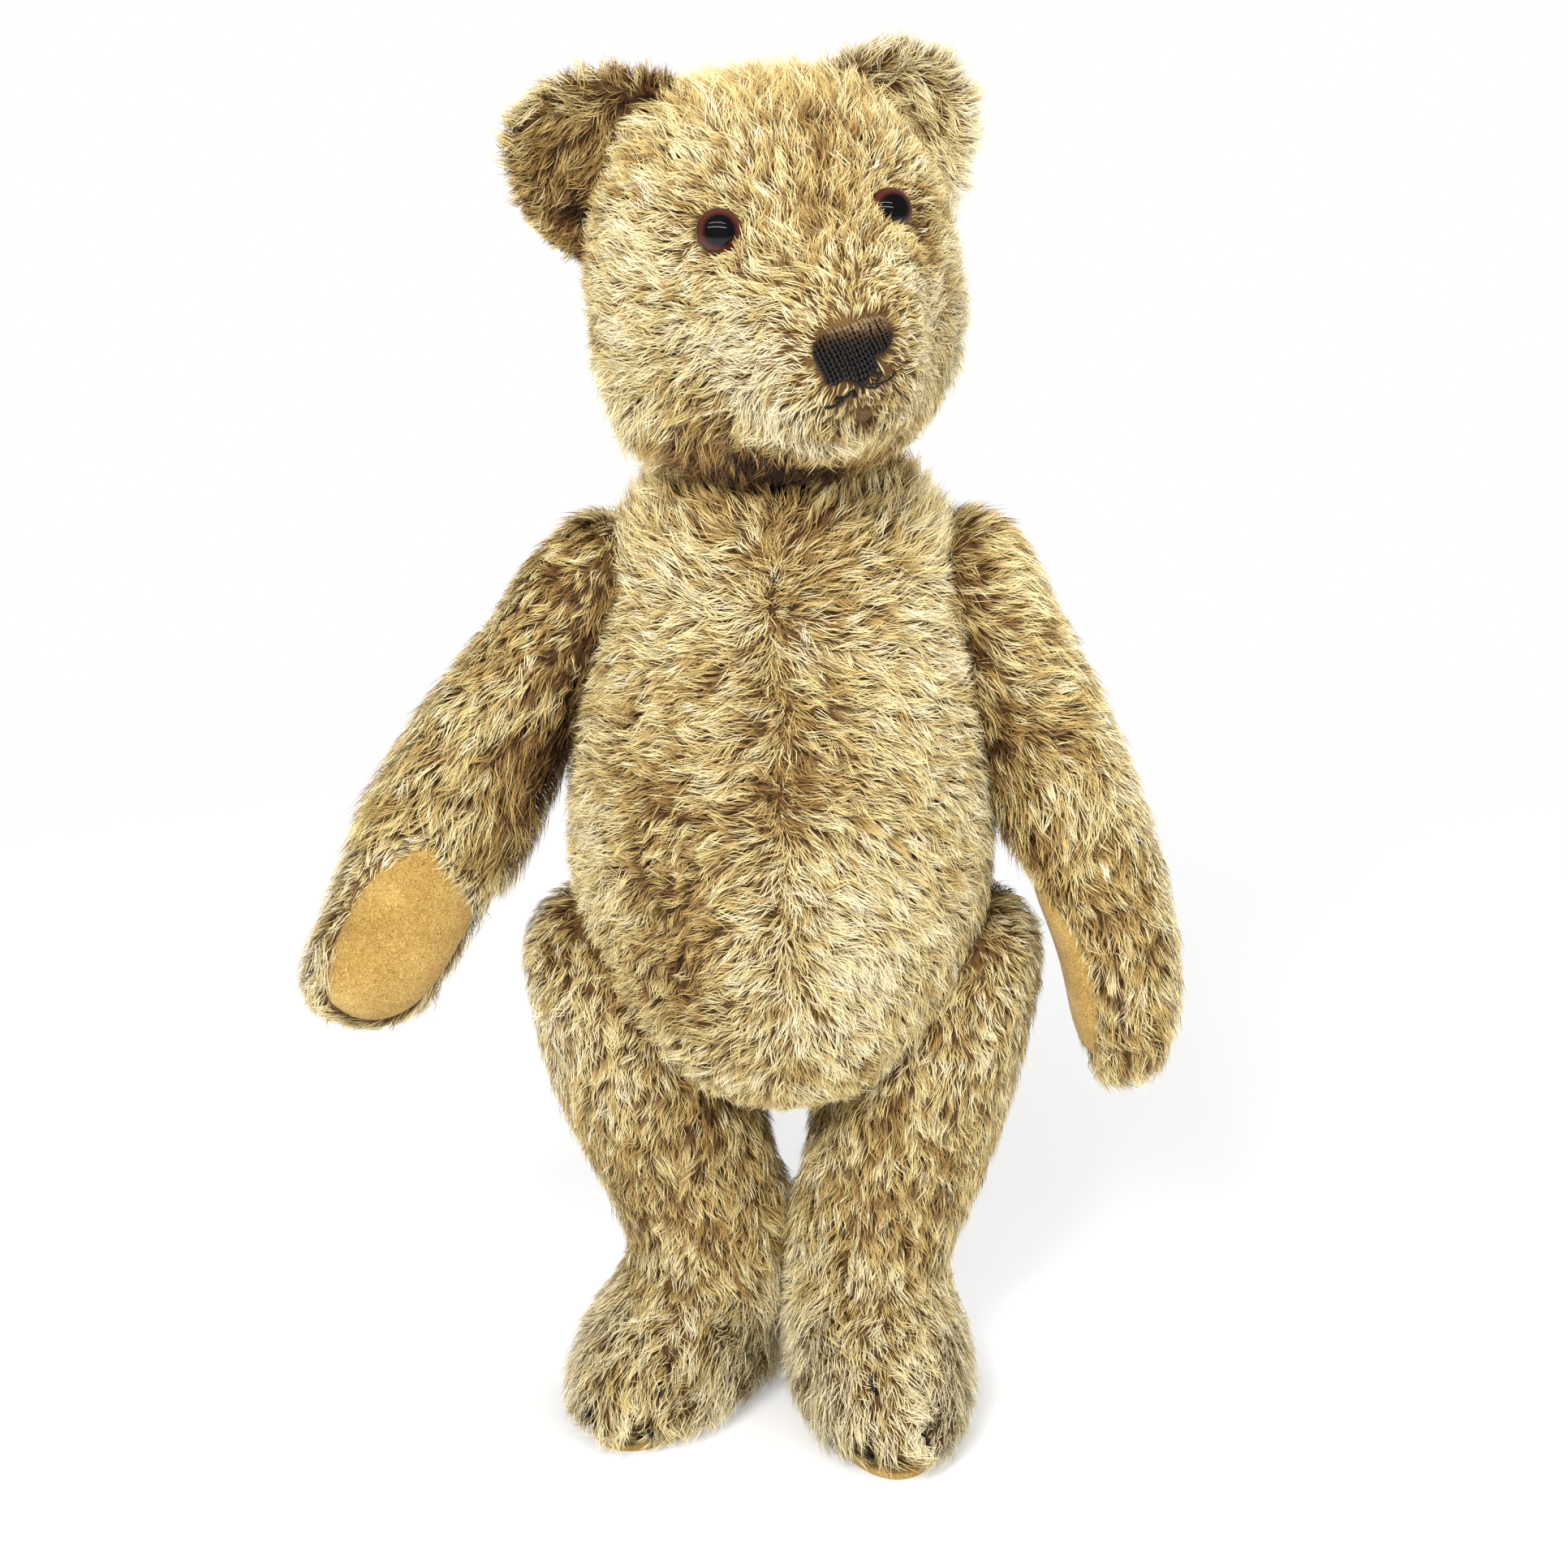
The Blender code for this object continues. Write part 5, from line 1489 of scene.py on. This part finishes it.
def arm_coat(side):
    out = np.array(arm_axes(side)[0])
    edge = smooth_loop(PAD_MM[side], 72)
    middle = edge.mean(axis=0)
    loop, grown = (middle + (edge - middle) * share for share in (0.86, 1.14))

    def coat_of(points, normals):
        along, across, face = arm_mm(side, points)
        coat = new_coat(len(points), tone=0.6, cling=0.76)
        airy_with_painted_glow(coat, normals, 0.14)
        # Painted shade: the pile on the side of the arm that faces the torso is darker, above the paw.
        shaded_inner_side = fade(-(normals @ out), 0.3, 0.85) * (1 - fade(along, 70, 100))
        change(coat, tone=-0.3 * shaded_inner_side)
        if side == "left":
            change(coat, tone=0.12 * fade(face, 4, 16), long=0.12 * (1 - fade(along, 30, 55)))
            change(coat, wild=-0.12 * (1 - fade(along, 30, 60)), stand=-8 * (1 - fade(along, 5, 40)))
            change(coat, stand=16 * (1 - fade(face, -14, -6)) * fade(along, 45, 70))
        else:
            high = 1 - fade(along, 75, 100)
            change(coat, tone=0.06 * fade(along, 50, 80) - 0.01, stand=10 * fade(along, 5, 30) * high)
            change(coat, long=0.12 * fade(along, 55, 75) + 0.25 * fade(along, 10, 35) * high)
            change(coat, long=-0.25 * fade(along, 120, 138))
        worn(coat, np.stack([along, across], axis=1), ARM_WEAR[side])
        inner = face < 0
        clear(coat, inside(loop, along, across) & inner)
        close = inside(grown, along, across) & inner
        above = inside(grown, along + 7, across) & inner & (along < loop[:, 0].min() + 22)
        under = inside(edge, along, across) & inner
        coat["stand"] = np.where(under, 14, np.where(close, 46, coat["stand"]))
        coat["wild"] = np.where(close, 0.8, coat["wild"])
        change(coat, tone=0.1 * close)
        scale(coat, "long", 1 - 0.5 * above)
        bare_at(coat, points, f"{side}_shoulder", outer=True)
        return coat

    return coat_of


for seed, side in enumerate(SIGNS, 45):
    pile = grow_pile(f"{side}_arm_pile", arms[side], comb_arm(side), arm_coat(side), seed, per_mm2=1.52)
    pieces.append((pile, f"{side}_arm"))


# %% Leg pile
def comb_leg(side):
    turn = np.array(foot_frame(side))[:3, :3]

    def comb(points, normals):
        x, y, z = local_mm(foot_frame(side), points).T
        foot = 1 - fade(z, 40, 56)
        down = -0.35 - 0.5 * (1 - fade(z, 8, 20))
        spread = np.stack([x / 22, np.minimum(y + 8, 0) / 26, down], axis=1) @ turn.T
        out = 0.25 * SIGNS[side] * fade(z, 70, 120)
        shin = np.stack([out, np.full_like(z, -0.15), np.full_like(z, -1)], axis=1)
        return shin * (1 - foot)[:, None] + spread * foot[:, None]

    return comb


LEG_WEAR = {
    "left": [
        ((-4, -40, 32), 6, {"tone": -0.2}),
        ((-8, -49, 9), 6, {"tone": -0.16}),
        ((6, -51, 11), 6, {"tone": -0.14}),
        ((-3, -21, 51), 8, {"tone": 0.28, "long": -0.3}),
    ],
    "right": [
        ((18, -25, 34), 10, {"tone": -0.16}),
        ((9, -42, 24), 7, {"tone": -0.14}),
        ((0, -40, 14), 10, {"tone": -0.10}),
        ((7, -21, 54), 7, {"tone": 0.28, "long": -0.3}),
    ],
}


LEG_TONE = {"left": 0.63, "right": 0.59}


def leg_coat(side):
    def coat_of(points, normals):
        places = local_mm(foot_frame(side), points)
        x, y, z = places.T
        coat = new_coat(len(points), tone=LEG_TONE[side], wild=0.5, long=0.95)
        change(coat, tone=0.30 * (1 - fade(z, 30, 50)) - 0.04 * fade(z, 48, 60) * (1 - fade(z, 85, 105)))
        airy_with_painted_glow(coat, normals, 0.13)
        change(coat, tone=0.10 * fade(z, 95, 130), wild=0.3 * fade(z, 105, 140))
        change(coat, long=-0.12 * fade(z, 100, 140))
        worn(coat, places, LEG_WEAR[side])
        foot = 1 - fade(z, 30, 48)
        change(coat, cling=-0.2 * foot, wild=0.25 * foot)
        for across, top, bottom in CLAWS_MM[side]:
            gap = np.hypot(x - across, z - np.clip(z, bottom, top)) + np.where(y < -15, 0, 99)
            near, nearby, around = (np.exp(-((gap / radius) ** 2)) for radius in (1.5, 4, 5))
            change(coat, left=-0.7 * near, long=-0.3 * nearby, tone=-0.08 * around)
        # Painted shade: the thigh is darker next to the hip's disc, where it meets the torso.
        inner = around_pin(points, f"{side}_hip", joint_axis(f"{side}_hip"))[1]
        change(coat, tone=-0.14 * (1 - fade(inner, 2, 12)) * fade(z, 85, 105))
        change(coat, long=0.22 * (1 - fade(z, 22, 40)), stand=14 * (1 - fade(z, 22, 45)))
        inward = -SIGNS[side] * normals[:, 0]
        between = fade(inward, 0.5, 0.9) * (1 - fade(z, 66, 78)) * fade(z, 22, 32)
        change(coat, stand=26 * between, long=0.35 * between)
        clear(coat, (z < 2.6) | ((normals[:, 2] < -0.75) & (z < 12)))
        bare_at(coat, points, f"{side}_hip", outer=True)
        return coat

    return coat_of


for seed, side in enumerate(SIGNS, 55):
    pile = grow_pile(f"{side}_leg_pile", legs[side], comb_leg(side), leg_coat(side), seed, per_mm2=1.44)
    pieces.append((pile, f"{side}_leg"))
print("triangles of pile:", sum(len(pile.data.vertices) // 5 * 3 for pile, _ in pieces))

# %% [markdown]
# ## The works inside
# The discs, washers and cotter pins stay as the frame has them. Hardboard is pressed wood pulp, brown and
# matt with a fine speckle. The washers and pins are plain steel, dulled and spotted with a little rust.

# %% Hardboard and steel
hardboard, shader = new_finish("pressed_hardboard", Roughness=0.85)
pulp = grain(hardboard, 700, 5)
ramp(hardboard, pulp, [(0.35, "#4E3520"), (0.55, "#70502F"), (0.7, "#8C6A42")], shader)
bump(hardboard, shader, pulp, 0.3, 0.0002)
steel, shader = new_finish("dull_steel", Metallic=1.0, Roughness=0.42)
ramp(steel, grain(steel, 260, 6), [(0.45, "#8B8A86"), (0.62, "#7A746B"), (0.72, "#6B4226")], shader)
for node_name, node in frame["nodes"].items():
    if node_name.endswith("_disc"):
        finish = hardboard
    elif node_name.endswith(("_washer", "_pin", "_shank")):
        finish = steel
    else:
        continue
    node.material_slots[0].link = "OBJECT"
    node.material_slots[0].material = finish

# %% [markdown]
# ## What each piece stands for
# Every form replaces its panels and stuffing in the frame, and rides on the same body, so the bear can
# turn its head and swing its limbs.

# %% Riding
REPLACED = {
    "torso": (torso, ["torso_left_panel", "torso_right_panel", "torso_stuffing"]),
    "head": (head, ["head_gusset", "head_left_cheek", "head_right_cheek", "head_stuffing"]),
}
for side in SIGNS:
    for limb, form in (("arm", arms[side]), ("leg", legs[side])):
        body = f"{side}_{limb}"
        REPLACED[body] = (form, [f"{body}_outer_panel", f"{body}_inner_panel", f"{body}_stuffing"])
for body, (form, nodes) in REPLACED.items():
    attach(form, body)
    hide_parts(*nodes)
for side in SIGNS:
    details = [
        (ears[side], "head", [f"{side}_ear_back", f"{side}_ear_front"], "ear_mohair"),
        (eyes[side], "head", [f"{side}_eye_glass"], "eye_glass"),
        (pads[side], f"{side}_arm", [f"{side}_paw_pad"], "felt"),
        (soles[side], f"{side}_leg", [f"{side}_sole"], "felt"),
        (claws[side], f"{side}_leg", [], "thread"),
    ]
    for piece, body, nodes, slot in details:
        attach(piece, body)
        if nodes:
            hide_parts(*nodes)
for piece, body, nodes in (
    (nose, "head", ["nose_stitching"]),
    (nose_base, "head", []),
    (loose, "head", []),
    (mouth, "head", ["mouth_thread"]),
    (claws["paw"], "left_arm", []),
    (knot, "torso", []),
    (ladder_stitches, "torso", []),
):
    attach(piece, body)
    if nodes:
        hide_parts(*nodes)
for pile, body in pieces:
    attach(pile, body)
    "ear_mohair" if "ear" in pile.name else "mohair"

# %% [markdown]
# ## Floor and light
# The bear stands on a plain white sweep. Near the feet the sheet takes its shadow, and further off it fades
# to the same white as the backdrop. Broad soft lamps light the pile from above and in front, and two long
# narrow ones leave a pair of lines in the glass of the eyes.

# %% Floor
bpy.ops.object.select_all(action="DESELECT")
bpy.ops.mesh.primitive_plane_add(size=40)
floor = bpy.context.object
floor.name = "floor"
paper, shader = new_finish("white_paper_sweep", Roughness=0.95, Base_Color=linear("#F4F4F3"))
spot = add_node(paper, "ShaderNodeTexCoord").outputs["Object"]
reach = add_node(paper, "ShaderNodeVectorMath", {"operation": "LENGTH"}, i0=spot).outputs["Value"]
fading = {"From Min": 0.22, "From Max": 0.9, "To Min": 0.3, "To Max": 1.0}
far = add_node(paper, "ShaderNodeMapRange", fading, i0=reach).outputs["Result"]
seen = add_node(paper, "ShaderNodeLightPath").outputs["Is Camera Ray"]
share = add_node(paper, "ShaderNodeMath", {"operation": "MULTIPLY"}, i0=seen, i1=far).outputs["Value"]
glow = add_node(paper, "ShaderNodeEmission", {"Strength": 1.0}).outputs["Emission"]
sheet = add_node(paper, "ShaderNodeMixShader", i0=share, i1=shader.outputs["BSDF"], i2=glow).outputs["Shader"]
paper.node_tree.links.new(sheet, paper.node_tree.nodes["Material Output"].inputs["Surface"])
floor.data.materials.append(paper)


# %% Lamps
def softbox(name, spot, aim, size, watts):
    bpy.ops.object.light_add(type="AREA", location=spot)
    lamp = bpy.context.object
    lamp.name = name
    lamp.data.shape = "RECTANGLE"
    lamp.data.size, lamp.data.size_y = size
    lamp.data.energy = watts
    lamp.rotation_euler = (Vector(aim) - Vector(spot)).to_track_quat("-Z", "Y").to_euler()


softbox("key", (-0.5, -1.3, 1.3), (0, 0, 0.22), (0.6, 0.4), 28)
softbox("fill", (1.1, -1.0, 0.8), (0, 0, 0.2), (0.8, 0.8), 8.5)
softbox("top", (0.3, 0.2, 1.6), (0, 0, 0.2), (0.9, 0.9), 14)
for lamp_name in ("key", "fill", "top"):
    bpy.data.objects[lamp_name].visible_glossy = False
for i, height in enumerate((0.86, 1.3)):
    softbox(f"bar_{i}", (-0.1, -0.95, height), (0, 0, 0.36), (1.5, 0.03), 4.5)
world = bpy.data.worlds.new("studio")
bpy.context.scene.world = world
world.use_nodes = True
path = add_node(world, "ShaderNodeLightPath").outputs
straight = {"i0": path["Is Camera Ray"], "i1": path["Is Transmission Ray"]}
seen = add_node(world, "ShaderNodeMath", {"operation": "MAXIMUM"}, **straight).outputs[0]
level = add_node(world, "ShaderNodeMapRange", {"To Min": 0.3, "To Max": 1.0}, Value=seen).outputs["Result"]
background = world.node_tree.nodes["Background"]
background.inputs["Color"].default_value = (1, 1, 1, 1)
world.node_tree.links.new(level, background.inputs["Strength"])
bpy.context.scene.view_settings.view_transform = "Standard"
